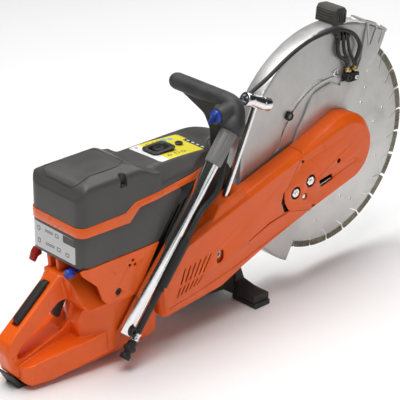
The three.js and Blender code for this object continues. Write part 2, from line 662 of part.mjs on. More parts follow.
function addTankUnit() {
  const loopOutline = [
    [-575, -108], [-572, -226], [-694, -226], [-709, -207], [-718, -166], [-713, -148], [-660, -106],
    [-606, -62], [-560, -62], [-560, -108],
  ];
  const opening = [
    [-588, -112], [-592, -146], [-606, -160], [-684, -184], [-697, -182], [-699, -172], [-690, -162],
    [-651, -136], [-612, -112],
  ];
  const loop = cut(plate(loopOutline, BODY_CENTRE_Y - 18, BODY_CENTRE_Y + 18), plate(opening, -50, 100));
  const tankSection = [
    [-37.5, -110], [-37.5, -205], [-17, -227], [71, -227], [91.5, -205], [91.5, -110],
  ];
  const tailPlan = [
    [-548, -37], [-688, -12], [-698, -2], [-698, 56], [-688, 66], [-548, 88],
  ];
  const tailSide = [
    [-550, -226], [-694, -226], [-709, -207], [-704, -196], [-575, -178], [-550, -178],
  ];
  const overTail = [[-697, -182.5], [-684, -184.5], [-606, -160], [-606, -100], [-697, -100]];
  const tail = column(tailPlan, -226, -180)
    .intersect(plate(tailSide, -100, 150))
    .intersect(beam(tankSection, -720, -540))
    .subtract(plate(overTail, -100, 150));
  const tankSide = [
    [-452, -116], [-450, -150], [-444, -172], [-444, -196], [-457, -226], [-575, -226],
    [-590, -150], [-580, -116],
  ];
  const flank = [
    [-440, -38], [-536, -38], [-590, -12], [-590, 18], [-560, 62], [-536, 92], [-440, 92],
  ];
  const flankInside = [
    [-430, -33], [-537, -33], [-584, -9], [-584, 12], [-556, 56], [-533, 84], [-430, 84],
  ];
  const tank = plate(tankSide, -100, 150)
    .intersect(beam(tankSection, -700, -400))
    .intersect(column(flank, -230, -100));
  const neckSide = [[-606, -62], [-560, -62], [-545, -116], [-592, -116]];
  const neck = plate(neckSide, BODY_CENTRE_Y - 30, BODY_CENTRE_Y + 30);
  const shoulderSide = [[-600, -66], [-560, -66], [-480, -117], [-592, -117]];
  const shoulderSection = [[-3, -66], [57, -66], [91, -117], [-37, -117]];
  const shoulder = plate(shoulderSide, -50, 100).intersect(beam(shoulderSection, -620, -470));
  const knucklePlan = [[-620, 14], [-592, 16], [-561, 61], [-561, 110], [-620, 110]];
  const knuckleRelief = column(knucklePlan, -150, -112);
  const fuelSide = [[-449, -121], [-449, -194], [-460, -221], [-560, -221], [-570, -150], [-565, -121]];
  const fuelSpace = plate(fuelSide, -20, 76).intersect(column(flankInside, -230, -100));
  const filler = discY(16, ...FILLER, 60, 110);
  const triggerSlot = plate([
    [-583, -100], [-583, -130], [-618, -150], [-640, -118], [-620, -90], [-596, -84],
  ], BODY_CENTRE_Y - 8, BODY_CENTRE_Y + 8);
  const lockSlot = plate([
    [-622, -60], [-684, -110], [-690, -100], [-690, -128], [-684, -135], [-624, -86.5], [-618, -78],
  ], BODY_CENTRE_Y - 8, BODY_CENTRE_Y + 8);
  const unit = cut(
    join(loop, tail, tank, neck, shoulder), fuelSpace, filler, triggerSlot, lockSlot, knuckleRelief);
  addPart('fuel_tank_handle', unit, 'orange');

  addPart('fuel_cap', join(
    discY(15.5, ...FILLER, 84, 95), discY(20, ...FILLER, 92, 104),
    box([FILLER[0] - 3, FILLER[0] + 3], [100, 110], [FILLER[1] - 16, FILLER[1] + 16])), 'black');
  addPart('rear_foot', plate([
    [-714, -206], [-709.8, -207], [-694.6, -226 - GAP], [-664, -226 - GAP], [-667, -235], [-698, -235],
  ], BODY_CENTRE_Y - 18, BODY_CENTRE_Y + 18), 'rubber');

  addPart('throttle_trigger', plate([
    [-586, -99], [-586, -112], [-603, -143], [-609, -141], [-617, -126], [-612, -104], [-594, -93],
  ], 20, 34), 'black');
  addPart('throttle_lockout', plate([
    [-622, -71], [-630, -73], [-686, -118], [-687, -124], [-683, -125], [-626, -79],
  ], 20, 34), 'black');

  addPart('choke_knob', join(
    disc(8, [-610, -12, -50], [-596, -12, -50]),
    disc(2, [-597, -12, -50], [-470, -12, -50], 8)), 'blue');
  addPart('stop_switch', plate([
    [-598, -40], [-590, -40], [-590, -52], [-598, -54], [-604, -62], [-608, -60], [-603, -48],
  ], 76, 90), 'red');

  ['vibration_damper_right', 'vibration_damper_left'].forEach((name, i) => {
    const y = BODY_CENTRE_Y - 19 + i * 38;
    addPart(name, disc(9, [-461, y, -116 + GAP], [-461, y, -100 - GAP], 16), 'rubber');
  });
}

// ---------------------------------------------------------------- front handle, hose and wrench

function addFrontHandle() {
  const hollowTube = cut(
    disc(TUBE_RADIUS, onTube(14), onTube(398)), disc(TUBE_BORE, onTube(0), onTube(420), 16));
  const boltAt = onTube(388);
  addPart('front_handle_tube', cut(hollowTube, discY(4, boltAt[0], boltAt[2], -80, -20, 8)), 'chrome');
  addPart('handle_tube_bolt', join(
    discY(3.5, boltAt[0], boltAt[2], -66, -38.2, 8),
    discY(7, boltAt[0], boltAt[2], -71, -65.2, 6)), 'black');
  addPart('handle_sleeve', cut(
    disc(GRIP_RADIUS, onTube(16), onTube(82)),
    disc(TUBE_RADIUS + GAP, onTube(0), onTube(120))), 'darkGrey');

  const barSolid = disc(GRIP_RADIUS, [GRIP_X, -30, GRIP_Z], [GRIP_X, GRIP_END_Y + 1, GRIP_Z], 16);
  const ball = toSolid(new THREE.SphereGeometry(GRIP_RADIUS, 16, 8).translate(GRIP_X, GRIP_END_Y, GRIP_Z));
  const elbow = toSolid(new THREE.SphereGeometry(19, 16, 10).translate(GRIP_X - 2, -42, 151));
  const socketSide = [[-304, 146], [-298, 128], [-280, 112], [-260, 112], [-256, 150], [-264, 162]];
  const corner = join(
    elbow,
    disc(COLLAR_RADIUS, onTube(0), onTube(COLLAR_LENGTH)),
    plate(socketSide, -46, -16),
    disc(16, [-270, -42, 150], [-304, TAP_Y, TAP_Z], 16).subtract(box([-340, -304], [-60, 0], [100, 170])),
  );
  const webOutline = [
    [-16, 150], [-16, 118], [-2, 92], [-2, 60], [17, 60], [20, 96], [34, 120], [100, 146], [100, 152],
  ];
  const web = beam(webOutline, -268, -252);
  const legOutline = [
    [-268, 110], [-252, 110], [-246, 70], [-246, -100], [-258, -100], [-260, 70],
  ];
  const leg = plate(legOutline, -2, 16);
  const grip = cut(
    join(barSolid, ball, corner, web, leg),
    disc(GRIP_RADIUS + GAP, onTube(14), onTube(100)),
    disc(HOSE_RADIUS + 1.2, [-262, -30, 100], [-262, -30, 133], 12),
  );
  addPart('front_grip', grip, 'darkGrey');

  const tap = join(
    disc(12, [-304.4, TAP_Y, TAP_Z], [-310, TAP_Y, TAP_Z], 16),
    box([-318, -309], [TAP_Y - 2.5, TAP_Y + 2.5], [TAP_Z - 14, TAP_Z + 14]));
  addPart('water_tap', tap, 'blue');

  addPart('supply_hose', bar([
    [-262, -30, 126], [-262, -30, 108], [-274, -33, 84], [-298, -44, 52], [-322, -57, 22],
    ...[160, 200, 240, 290, 340, 390, 402].map((down) => onTube(down, HOSE_AHEAD, HOSE_OUT)),
  ], HOSE_RADIUS, 32, 8), 'rubber');
  const besideTube = (radius, from, to) => disc(
    radius, onTube(from, HOSE_AHEAD, HOSE_OUT), onTube(to, HOSE_AHEAD, HOSE_OUT), 10);
  const guide = cut(
    besideTube(9, 215, 300),
    besideTube(HOSE_RADIUS + 0.9, 150, 320),
    disc(TUBE_RADIUS + GAP, onTube(0), onTube(420)),
  );
  addPart('hose_guide', guide, 'black');
  const nose = onTube(402 + GAP, HOSE_AHEAD, HOSE_OUT);
  const alongTube = TUBE_END.map((value, i) => value - TUBE_TOP[i]);
  addPart('hose_connector', turned([
    [0, 0], [8, 0], [8, 8], [11, 10], [11, 15], [6.5, 18], [6.5, 22], [9.5, 24], [9.5, 32], [0, 32],
  ], nose, alongTube, 16), 'black');
}

function addWrench() {
  const axis = new THREE.Vector3(...WRENCH_HEAD).sub(new THREE.Vector3(...WRENCH_FOOT)).normalize();
  const across = new THREE.Vector3(axis.z, 0, -axis.x);
  const head = new THREE.Vector3(...WRENCH_HEAD);
  const end = (distance) => head.clone().addScaledVector(across, distance).toArray();
  const wrench = cut(
    join(disc(WRENCH_ROD_RADIUS, WRENCH_FOOT, WRENCH_HEAD, 10), disc(12, end(-30), end(32), 16)),
    disc(8, end(-40), end(-14), 6),
    disc(8, end(14), end(40), 6),
  );
  addPart('combination_wrench', wrench, 'chrome');
}

function addFrontFoot() {
  const side = [
    [-340, -185.4], [-309.5, -185.4], [-261.4, -130.4], [-240, -140], [-224, -160], [-214, -190],
    [-207, -207], [-196, -212], [-196, -225], [-230, -225], [-258, -205], [-306, -200], [-340, -196],
  ];
  const bracket = cut(
    plate(side, -58, 112),
    box([-350, -180], [2, 52], [-240, -206]),
    box([-350, -233], [-70, -8], [-240, -120]),
    box([-350, -233], [62, 130], [-240, -120]),
    box([-240, -180], [-70, -14], [-209, -120]),
    box([-240, -180], [68, 130], [-209, -120]),
  );
  addPart('front_foot_bracket', bracket, 'darkGrey');
  addPart('front_foot_pad_right', box([-231, -195], [-61, -1], [-235, -225 - GAP]), 'rubber');
  addPart('front_foot_pad_left', box([-231, -195], [55, 115], [-235, -225 - GAP]), 'rubber');
}

// ---------------------------------------------------------------- assembly

addBladeUnit();
addCuttingArm();
addGuard();
addEngine();
addBodyShells();
addTankUnit();
addFrontHandle();
addWrench();
addFrontFoot();

saw.position.set(-ORIGIN_X, -ORIGIN_Y, SPINDLE_HEIGHT);

export default saw;
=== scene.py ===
"""Rescue saw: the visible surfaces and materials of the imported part.

Shapes are built in millimetres about the centre of the blade (x forward, y left, z up), as in the
CAD source, and moved into the frame in metres by TO_FRAME when a piece is finished.
"""

import math

import bmesh
import bpy
from mathutils import Matrix, Vector


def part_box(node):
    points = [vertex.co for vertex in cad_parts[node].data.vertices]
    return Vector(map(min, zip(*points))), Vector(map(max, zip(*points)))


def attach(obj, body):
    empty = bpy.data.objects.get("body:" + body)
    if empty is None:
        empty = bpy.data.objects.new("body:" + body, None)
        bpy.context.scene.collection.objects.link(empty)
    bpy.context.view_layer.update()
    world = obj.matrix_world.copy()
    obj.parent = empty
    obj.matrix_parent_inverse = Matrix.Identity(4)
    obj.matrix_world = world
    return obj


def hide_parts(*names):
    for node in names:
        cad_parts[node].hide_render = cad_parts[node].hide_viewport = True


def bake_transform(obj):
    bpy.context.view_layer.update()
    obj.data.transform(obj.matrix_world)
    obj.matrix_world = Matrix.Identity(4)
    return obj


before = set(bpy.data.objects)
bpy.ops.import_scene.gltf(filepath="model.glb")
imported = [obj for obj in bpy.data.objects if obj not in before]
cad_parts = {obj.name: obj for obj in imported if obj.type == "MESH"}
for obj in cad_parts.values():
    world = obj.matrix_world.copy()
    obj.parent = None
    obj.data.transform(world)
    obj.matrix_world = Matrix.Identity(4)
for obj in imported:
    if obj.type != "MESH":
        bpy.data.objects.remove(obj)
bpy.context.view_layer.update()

low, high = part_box("blade")
SPINDLE = (low + high) / 2
TO_FRAME = Matrix.Translation(SPINDLE) @ Matrix.Scale(0.001, 4)
FLOOR = -SPINDLE.z * 1000

# ------------------------------------------------------------------ driving dimensions, in mm

ARM_TILT = math.radians(18.3)
ARM_LENGTH = 391
ARM_OUTER_Y = -55
ARM_INNER_Y = -17.5
BODY_MIDDLE_Y = 27
BODY_RIGHT_Y = -42
TUBE_Y = -52
TUBE_TOP = (-276, TUBE_Y, 136)
TUBE_END = (-526, TUBE_Y, -174)
HOSE_AHEAD, HOSE_OUT = 15, 12
WRENCH_Y = -36
WRENCH_HEAD, WRENCH_FOOT = (-212, WRENCH_Y, 147), (-283, WRENCH_Y, -5)
GUARD_FROM, GUARD_TO = 54, 241
NUTS = (97, 136)
GRIP_END_Y = 100
TAP_Y, TAP_Z = -38, 146
TAP_LEAN = 35
HUB_STEP, HUB_STEP_FRONT = 105, 121
NUT_HOLE_RADIUS = 12
TENSION_SCREW_BACK = 328
EDGE_ANGLE = 32
KEPT_EDGE = 0.0006


# ------------------------------------------------------------------ outlines


def polar(radius, angle, u=0.0, v=0.0):
    turn = math.radians(angle)
    return (u + radius * math.cos(turn), v + radius * math.sin(turn))


def arc(u, v, radius, start, end, steps):
    return [polar(radius, start + (end - start) * i / steps, u, v) for i in range(steps + 1)]


def circle(u, v, radius, steps=32):
    return arc(u, v, radius, 0, 360 - 360 / steps, steps - 1)


def rounded(points, radius=0.0, steps=5):
    """The outline with each corner turned into an arc; a third number is that corner's radius."""
    result = []
    for i, point in enumerate(points):
        corner = Vector(point[:2])
        back = Vector(points[i - 1][:2]) - corner
        on = Vector(points[(i + 1) % len(points)][:2]) - corner
        wanted = point[2] if len(point) > 2 else radius
        angle = back.angle(on)
        if wanted <= 0 or angle > math.radians(176):
            result.append(tuple(corner))
            continue
        reach = min(wanted / math.tan(angle / 2), 0.48 * min(back.length, on.length))
        true = reach * math.tan(angle / 2)
        middle = corner + (back.normalized() + on.normalized()).normalized() * (
            true / math.sin(angle / 2))
        first = corner + back.normalized() * reach - middle
        last = corner + on.normalized() * reach - middle
        sweep = math.atan2(first.x * last.y - first.y * last.x, first.dot(last))
        for k in range(steps + 1):
            result.append(tuple(middle + Matrix.Rotation(sweep * k / steps, 2) @ first))
    return result


def rectangle(u, v, width, height, radius=0.0, steps=5):
    half_u, half_v = width / 2, height / 2
    corners = [(u - half_u, v - half_v), (u + half_u, v - half_v),
               (u + half_u, v + half_v), (u - half_u, v + half_v)]
    return rounded(corners, radius, steps)


def sector(inner, outer, start, end, steps=8, u=0.0, v=0.0):
    return arc(u, v, outer, start, end, steps) + arc(u, v, inner, end, start, steps)


def on_arm(a, b):
    """a mm back from the spindle along the arm, b mm square to it, upward."""
    return (-a * math.cos(ARM_TILT) - b * math.sin(ARM_TILT),
            -a * math.sin(ARM_TILT) + b * math.cos(ARM_TILT))


def on_tube(down, ahead=0.0, out=0.0):
    """A point by the front handle tube: down from its top, forward of it and out from it."""
    run = Vector(TUBE_END) - Vector(TUBE_TOP)
    run.normalize()
    return (TUBE_TOP[0] + run.x * down - run.z * ahead, TUBE_Y - out,
            TUBE_TOP[2] + run.z * down + run.x * ahead)


# ------------------------------------------------------------------ mesh tools

PUT = {
    "x": lambda u, v, t: (t, u, v),
    "y": lambda u, v, t: (u, t, v),
    "z": lambda u, v, t: (u, v, t),
}


def make(bm):
    bmesh.ops.recalc_face_normals(bm, faces=bm.faces)
    mesh = bpy.data.meshes.new("work")
    bm.to_mesh(mesh)
    bm.free()
    obj = bpy.data.objects.new("work", mesh)
    bpy.context.collection.objects.link(obj)
    return obj


def skin_rings(bm, rings, closed=False):
    pairs = list(zip(rings, rings[1:]))
    if closed:
        pairs.append((rings[-1], rings[0]))
    for first, second in pairs:
        count = max(len(first), len(second))
        if count == 1:
            continue
        for i in range(count):
            if len(first) == 1:
                bm.faces.new((first[0], second[i], second[i - 1]))
            elif len(second) == 1:
                bm.faces.new((first[i - 1], first[i], second[0]))
            else:
                bm.faces.new((first[i - 1], first[i], second[i], second[i - 1]))


def capped(bm, rings):
    skin_rings(bm, rings)
    bm.faces.new(rings[0])
    bm.faces.new(rings[-1])
    return make(bm)


def layers(axis, outline_at, steps):
    """A solid through outlines at several heights; steps holds (inset, height) pairs."""
    bm = bmesh.new()
    rings = []
    for inset, height in steps:
        rings.append([bm.verts.new(PUT[axis](u, v, height)) for u, v in outline_at(inset)])
    return capped(bm, rings)


def prism(axis, outline, start, end):
    return layers(axis, lambda inset: outline, [(0, start), (0, end)])


def box(x, y, z):
    return prism("z", [(x[0], y[0]), (x[1], y[0]), (x[1], y[1]), (x[0], y[1])], *z)


def lathe(profile, origin, direction, sides=48):
    """A profile of (radius, distance) points turned about a line."""
    turn = Vector((0, 0, 1)).rotation_difference(Vector(direction).normalized())
    bm = bmesh.new()
    rings = []
    for radius, distance in profile:
        ring = []
        for i in range(1 if radius < 1e-6 else sides):
            x, y = polar(radius, 360 * i / sides)
            ring.append(bm.verts.new(Vector(origin) + turn @ Vector((x, y, distance))))
        rings.append(ring)
    skin_rings(bm, rings, closed=profile[0][0] > 1e-6)
    return make(bm)


def rod(start, end, radius, sides=32, inner=0.0):
    """A straight bar, or a pipe if it has an inner radius."""
    along = Vector(end) - Vector(start)
    profile = [(0, 0), (radius, 0), (radius, along.length), (0, along.length)]
    if inner:
        profile = [(inner, 0), (radius, 0), (radius, along.length), (inner, along.length)]
    return lathe(profile, start, along, sides)


def rod_y(radius, x, z, start, end, sides=32, inner=0.0):
    return rod((x, start, z), (x, end, z), radius, sides, inner)


def hull(points):
    """The convex solid round some points."""
    bm = bmesh.new()
    for point in points:
        bm.verts.new(point)
    bmesh.ops.convex_hull(bm, input=bm.verts)
    loose = [v for v in bm.verts if not v.link_faces]
    bmesh.ops.delete(bm, geom=loose, context="VERTS")
    return make(bm)


def swept_sector(profile, start, end, steps):
    """A closed profile of (radius, y) points turned part of the way about the spindle."""
    bm = bmesh.new()
    rings = []
    for i in range(steps + 1):
        angle = start + (end - start) * i / steps
        ring = []
        for radius, y in profile:
            x, z = polar(radius, angle)
            ring.append(bm.verts.new((x, y, z)))
        rings.append(ring)
    return capped(bm, rings)


def smooth_path(points, steps=8):
    """A curve through all the points."""
    spots = [Vector(p) for p in points]
    spots = [spots[0] * 2 - spots[1], *spots, spots[-1] * 2 - spots[-2]]
    path = []
    for a, b, c, d in zip(spots, spots[1:], spots[2:], spots[3:]):
        for k in range(steps):
            t = k / steps
            path.append(0.5 * (2 * b + (c - a) * t + (2 * a - 5 * b + 4 * c - d) * t * t
                               + (3 * b - a - 3 * c + d) * t ** 3))
    path.append(spots[-2])
    return path


def sweep(path, radius, sides=20):
    """A round bar along a path; radius is a number, or a function of the share of its length."""
    radius_at = radius if callable(radius) else (lambda share: radius)
    bm = bmesh.new()
    rings = []
    across = None
    for i, spot in enumerate(path):
        ahead = (path[min(i + 1, len(path) - 1)] - path[max(i - 1, 0)]).normalized()
        across = across or ahead.orthogonal()
        across = (across - ahead * across.dot(ahead)).normalized()
        other = ahead.cross(across)
        size = radius_at(i / (len(path) - 1))
        ring = []
        for k in range(sides):
            u, v = polar(size, 360 * k / sides)
            ring.append(bm.verts.new(spot + across * u + other * v))
        rings.append(ring)
    return capped(bm, rings)


def apply(obj):
    bpy.context.view_layer.update()
    seen = obj.evaluated_get(bpy.context.evaluated_depsgraph_get())
    mesh = bpy.data.meshes.new_from_object(seen)
    obj.modifiers.clear()
    obj.data = mesh
    return obj


def discard(obj):
    bpy.data.objects.remove(obj, do_unlink=True)


def combine(obj, tools, operation, keep_tools=False):
    for tool in tools:
        modifier = obj.modifiers.new("combine", "BOOLEAN")
        modifier.operation = operation
        modifier.object = tool
        modifier.solver = "MANIFOLD"
        apply(obj)
        if not keep_tools:
            discard(tool)
    return obj


def cut(obj, *tools, **options):
    return combine(obj, tools, "DIFFERENCE", **options)


def join(obj, *others, **options):
    return combine(obj, others, "UNION", **options)


def only(obj, *tools, **options):
    return combine(obj, tools, "INTERSECT", **options)


def copy(obj, shift=(0, 0, 0)):
    twin = bpy.data.objects.new("work", obj.data.copy())
    bpy.context.collection.objects.link(twin)
    twin.data.transform(Matrix.Translation(shift))
    return twin


def bundle(*objects):
    """Several solids that don't touch, as one mesh."""
    bm = bmesh.new()
    for obj in objects:
        bm.from_mesh(obj.data)
        discard(obj)
    return make(bm)


def add_bevel(obj, width, segments, angle):
    modifier = obj.modifiers.new("edge", "BEVEL")
    modifier.width = width
    modifier.segments = segments
    modifier.limit_method = "ANGLE"
    modifier.angle_limit = math.radians(angle)
    return modifier


def bevelled(obj, width, segments=3, angle=30):
    add_bevel(obj, width, segments, angle)
    return apply(obj)


def moulded(obj, voxel, rounds):
    """Soft fillets along every edge, inside and outside corners alike."""
    remesh = obj.modifiers.new("voxel", "REMESH")
    remesh.mode = "VOXEL"
    remesh.voxel_size = voxel * 1
    soften = obj.modifiers.new("soften", "SMOOTH")
    soften.factor = 0.6
    soften.iterations = rounds // 1
    return apply(obj)


def cover_skin(surface, region, shift):
    """A thin sheet lying on a surface inside a region; shift is its thickness and direction."""
    sheet = only(copy(surface, shift), region)
    return cut(sheet, surface, keep_tools=True)


def piece(name, obj, finish, body="frame", stands_for=(), edge=0.0, segments=2,
          shade=EDGE_ANGLE):
    """Names a finished solid, dresses it and hangs it on its body."""
    obj.name = name
    obj.data.name = name
    obj.data.transform(TO_FRAME)
    if edge:
        add_bevel(obj, edge * 0.001, segments, EDGE_ANGLE).harden_normals = True
        apply(obj)
    obj.data.materials.clear()
    obj.data.materials.append(finish)
    obj.data.shade_smooth()
    obj.data.set_sharp_from_angle(angle=math.radians(shade))
    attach(obj, body)
    if stands_for:
        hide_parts(*stands_for)
    return obj


# ------------------------------------------------------------------ materials


class Nodes:
    """A short way to write a node material."""

    def __init__(self, name):
        self.material = bpy.data.materials.new(name)
        self.material.use_nodes = True
        self.tree = self.material.node_tree
        self.tree.nodes.clear()
        self.output = self.tree.nodes.new("ShaderNodeOutputMaterial")
        self.shader = self.tree.nodes.new("ShaderNodeBsdfPrincipled")
        self.tree.links.new(self.shader.outputs[0], self.output.inputs[0])
        self.place = self.tree.nodes.new("ShaderNodeTexCoord").outputs["Object"]

    def link(self, source, target):
        if isinstance(source, (int, float)):
            target.default_value = source
        elif isinstance(source, (tuple, list)):
            target.default_value = (*source, 1.0)[:len(target.default_value)]
        else:
            self.tree.links.new(source, target)

    def math(self, operation, a, b=0.0):
        node = self.tree.nodes.new("ShaderNodeMath")
        node.operation = operation
        self.link(a, node.inputs[0])
        self.link(b, node.inputs[1])
        return node.outputs[0]

    def vector(self, operation, a, b=(0.0, 0.0, 0.0), output=0):
        node = self.tree.nodes.new("ShaderNodeVectorMath")
        node.operation = operation
        for value, socket in ((a, node.inputs[0]), (b, node.inputs[1])):
            if isinstance(value, tuple):
                socket.default_value = value
            else:
                self.tree.links.new(value, socket)
        return node.outputs[output]

    def split(self, vector):
        node = self.tree.nodes.new("ShaderNodeSeparateXYZ")
        self.tree.links.new(vector, node.inputs[0])
        return node.outputs

    def noise(self, scale, detail=3.0, vector=None, distortion=0.0):
        node = self.tree.nodes.new("ShaderNodeTexNoise")
        node.inputs["Scale"].default_value = scale
        node.inputs["Detail"].default_value = detail
        node.inputs["Distortion"].default_value = distortion
        self.tree.links.new(vector or self.place, node.inputs["Vector"])
        return node.outputs["Fac"]

    def ramp(self, value, start, end, to_low=0.0, to_high=1.0):
        node = self.tree.nodes.new("ShaderNodeMapRange")
        node.clamp = True
        self.link(value, node.inputs["Value"])
        node.inputs["From Min"].default_value = start
        node.inputs["From Max"].default_value = end
        node.inputs["To Min"].default_value = to_low
        node.inputs["To Max"].default_value = to_high
        return node.outputs["Result"]

    def mix(self, share, a, b):
        node = self.tree.nodes.new("ShaderNodeMix")
        node.data_type = "RGBA"
        self.link(share, node.inputs[0])
        self.link(a, node.inputs[6])
        self.link(b, node.inputs[7])
        return node.outputs[2]

    def bump(self, height, strength, distance, normal=None):
        node = self.tree.nodes.new("ShaderNodeBump")
        node.inputs["Strength"].default_value = strength
        node.inputs["Distance"].default_value = distance
        self.link(height, node.inputs["Height"])
        if normal is not None:
            self.tree.links.new(normal, node.inputs["Normal"])
        return node.outputs[0]

    def worn_edge(self, radius):
        """1 along convex and concave edges, 0 on flat faces."""
        round_normal = self.tree.nodes.new("ShaderNodeBevel")
        round_normal.samples = 4
        round_normal.inputs["Radius"].default_value = radius
        true_normal = self.tree.nodes.new("ShaderNodeNewGeometry").outputs["Normal"]
        facing = self.vector("DOT_PRODUCT", round_normal.outputs[0], true_normal, output=1)
        return self.ramp(facing, 0.995, 0.9)

    def hollow(self, distance):
        """1 in the open, towards 0 in grooves and corners."""
        node = self.tree.nodes.new("ShaderNodeAmbientOcclusion")
        node.samples = 4
        node.inputs["Distance"].default_value = distance
        return node.outputs["AO"]

    def set(self, **values):
        for name, value in values.items():
            self.link(value, self.shader.inputs[name.replace("_", " ")])
        return self.material


def plastic(name, colour, roughness=0.4, mottle=0.06, grain=1500, relief=0.12, edge=0.25,
            corner_shade_strength=0.35, coat=0.0):
    """Moulded plastic or paint: fine grain, uneven sheen, scuffed edges, painted shade in grooves
    and corners.
    """
    n = Nodes(name)
    cloud = n.ramp(n.noise(14, 4), 0.3, 0.7)
    speck = n.ramp(n.noise(900, 2), 0.35, 0.65)
    darker = tuple(c * (1 - 2 * mottle) for c in colour)
    lighter = tuple(min(1, c * (1 + mottle) + 0.004) for c in colour)
    paint = n.mix(cloud, darker, lighter)
    paint = n.mix(n.math("MULTIPLY", speck, 0.25), paint, tuple(c * 0.8 for c in colour))
    scuff = n.math("MULTIPLY", n.worn_edge(0.0009), n.ramp(n.noise(160, 5), 0.42, 0.62))
    worn = tuple(min(1, c * 1.25 + 0.06) for c in colour)
    paint = n.mix(n.math("MULTIPLY", scuff, edge), paint, worn)
    # painted shade: the colour falls towards a quarter of itself in grooves and corners, from
    # ambient occlusion
    painted_corner_shade = n.math("MULTIPLY", n.ramp(n.hollow(0.006), 0.25, 0.85, 1, 0), corner_shade_strength)
    paint = n.mix(painted_corner_shade, paint, tuple(c * 0.25 for c in colour))
    scratch = n.vector("MULTIPLY", n.place, (300.0, 40.0, 2600.0))
    fine = n.ramp(n.noise(1.0, 3, scratch, 0.6), 0.62, 0.7)
    sheen = n.ramp(n.noise(45, 5), 0.3, 0.75, roughness - 0.06, roughness + 0.09)
    sheen = n.math("ADD", sheen, n.math("MULTIPLY", fine, 0.08))
    height = n.math("ADD", n.noise(grain, 2), n.math("MULTIPLY", fine, -0.6))
    wavy = n.bump(n.noise(26, 2), 0.25, 0.0008)
    normal = n.bump(height, relief, 0.00025, wavy)
    return n.set(Base_Color=paint, Roughness=sheen, Normal=normal, Coat_Weight=coat,
                 Coat_Roughness=0.12, Specular_IOR_Level=0.36)


def metal(name, colour, roughness=0.35, brush=(60.0, 60.0, 60.0), strength=0.15, spots=0.1,
          metallic=1.0, edge=0.4, corner_shade_strength=0.4):
    """Metal: brushing along the small numbers of brush, dull patches, brighter edges, painted shade
    in grooves and corners.
    """
    n = Nodes(name)
    lines = n.noise(1.0, 4, n.vector("MULTIPLY", n.place, brush))
    patch = n.ramp(n.noise(22, 5), 0.35, 0.7)
    tint = n.mix(n.math("MULTIPLY", patch, spots), colour, tuple(c * 0.55 for c in colour))
    tint = n.mix(n.math("MULTIPLY", lines, 0.25), tint, tuple(c * 0.75 for c in colour))
    rub = n.math("MULTIPLY", n.worn_edge(0.0006), n.ramp(n.noise(200, 4), 0.35, 0.6))
    tint = n.mix(n.math("MULTIPLY", rub, edge), tint, tuple(min(1, c * 1.3 + 0.05) for c in colour))
    # painted shade: the tint falls towards near black in grooves and corners, from ambient
    # occlusion
    painted_corner_shade = n.math("MULTIPLY", n.ramp(n.hollow(0.005), 0.2, 0.85, 1, 0), corner_shade_strength)
    tint = n.mix(painted_corner_shade, tint, (0.03, 0.028, 0.025))
    sheen = n.math("ADD", n.ramp(lines, 0.3, 0.7, roughness - 0.05, roughness + 0.08),
                   n.math("MULTIPLY", patch, 0.08))
    return n.set(Base_Color=tint, Metallic=metallic, Roughness=sheen,
                 Normal=n.bump(lines, strength, 0.0002))


def blade_metal():
    """Ground steel: rings of fine turning marks, smears of dried slurry, a soft fan of light."""
    n = Nodes("blade_steel")
    centre = n.vector("SUBTRACT", n.place, tuple(SPINDLE))
    x, _, z = n.split(centre)
    radius = n.math("SQRT", n.math("ADD", n.math("MULTIPLY", x, x), n.math("MULTIPLY", z, z)))
    rings = n.tree.nodes.new("ShaderNodeTexNoise")
    rings.noise_dimensions = "1D"
    rings.inputs["Scale"].default_value = 1400
    rings.inputs["Detail"].default_value = 3
    n.link(radius, rings.inputs["W"])
    turned = rings.outputs["Fac"]
    smear = n.ramp(n.noise(28, 6, distortion=0.8), 0.45, 0.75)
    rim = n.math("MULTIPLY", n.ramp(radius, 0.165, 0.19), n.ramp(n.noise(60, 4), 0.3, 0.7))
    tint = n.mix(n.math("MULTIPLY", turned, 0.35), (0.66, 0.645, 0.625), (0.42, 0.41, 0.395))
    tint = n.mix(n.math("MULTIPLY", smear, 0.18), tint, (0.42, 0.40, 0.37))
    tint = n.mix(n.math("MULTIPLY", rim, 0.35), tint, (0.40, 0.37, 0.32))
    sheen = n.math("ADD", n.ramp(turned, 0.3, 0.7, 0.27, 0.38), n.math("MULTIPLY", smear, 0.1))
    tangent = n.tree.nodes.new("ShaderNodeTangent")
    tangent.direction_type = "RADIAL"
    tangent.axis = "Y"
    return n.set(Base_Color=tint, Metallic=1.0, Roughness=sheen, Anisotropic=0.75,
                 Tangent=tangent.outputs[0], Normal=n.bump(turned, 0.12, 0.00015))


def diamond_metal():
    """Sintered segment: coarse bonded grains, sandy colour, dull, painted shade in the hollows."""
    n = Nodes("diamond_segment")
    grit = n.tree.nodes.new("ShaderNodeTexVoronoi")
    grit.inputs["Scale"].default_value = 1400
    n.link(n.place, grit.inputs["Vector"])
    cell = grit.outputs["Distance"]
    tint = n.mix(n.ramp(n.noise(120, 5), 0.3, 0.7), (0.20, 0.18, 0.125), (0.34, 0.31, 0.23))
    tint = n.mix(n.ramp(cell, 0.0, 0.35, 0.7, 0), tint, (0.55, 0.52, 0.42))
    # painted shade: near black in the hollows between grains and notches, from ambient occlusion
    tint = n.mix(n.ramp(n.hollow(0.002), 0.3, 0.9, 0.9, 0), tint, (0.02, 0.018, 0.015))
    return n.set(Base_Color=tint, Metallic=0.45, Roughness=0.62,
                 Normal=n.bump(cell, 0.5, 0.0004))


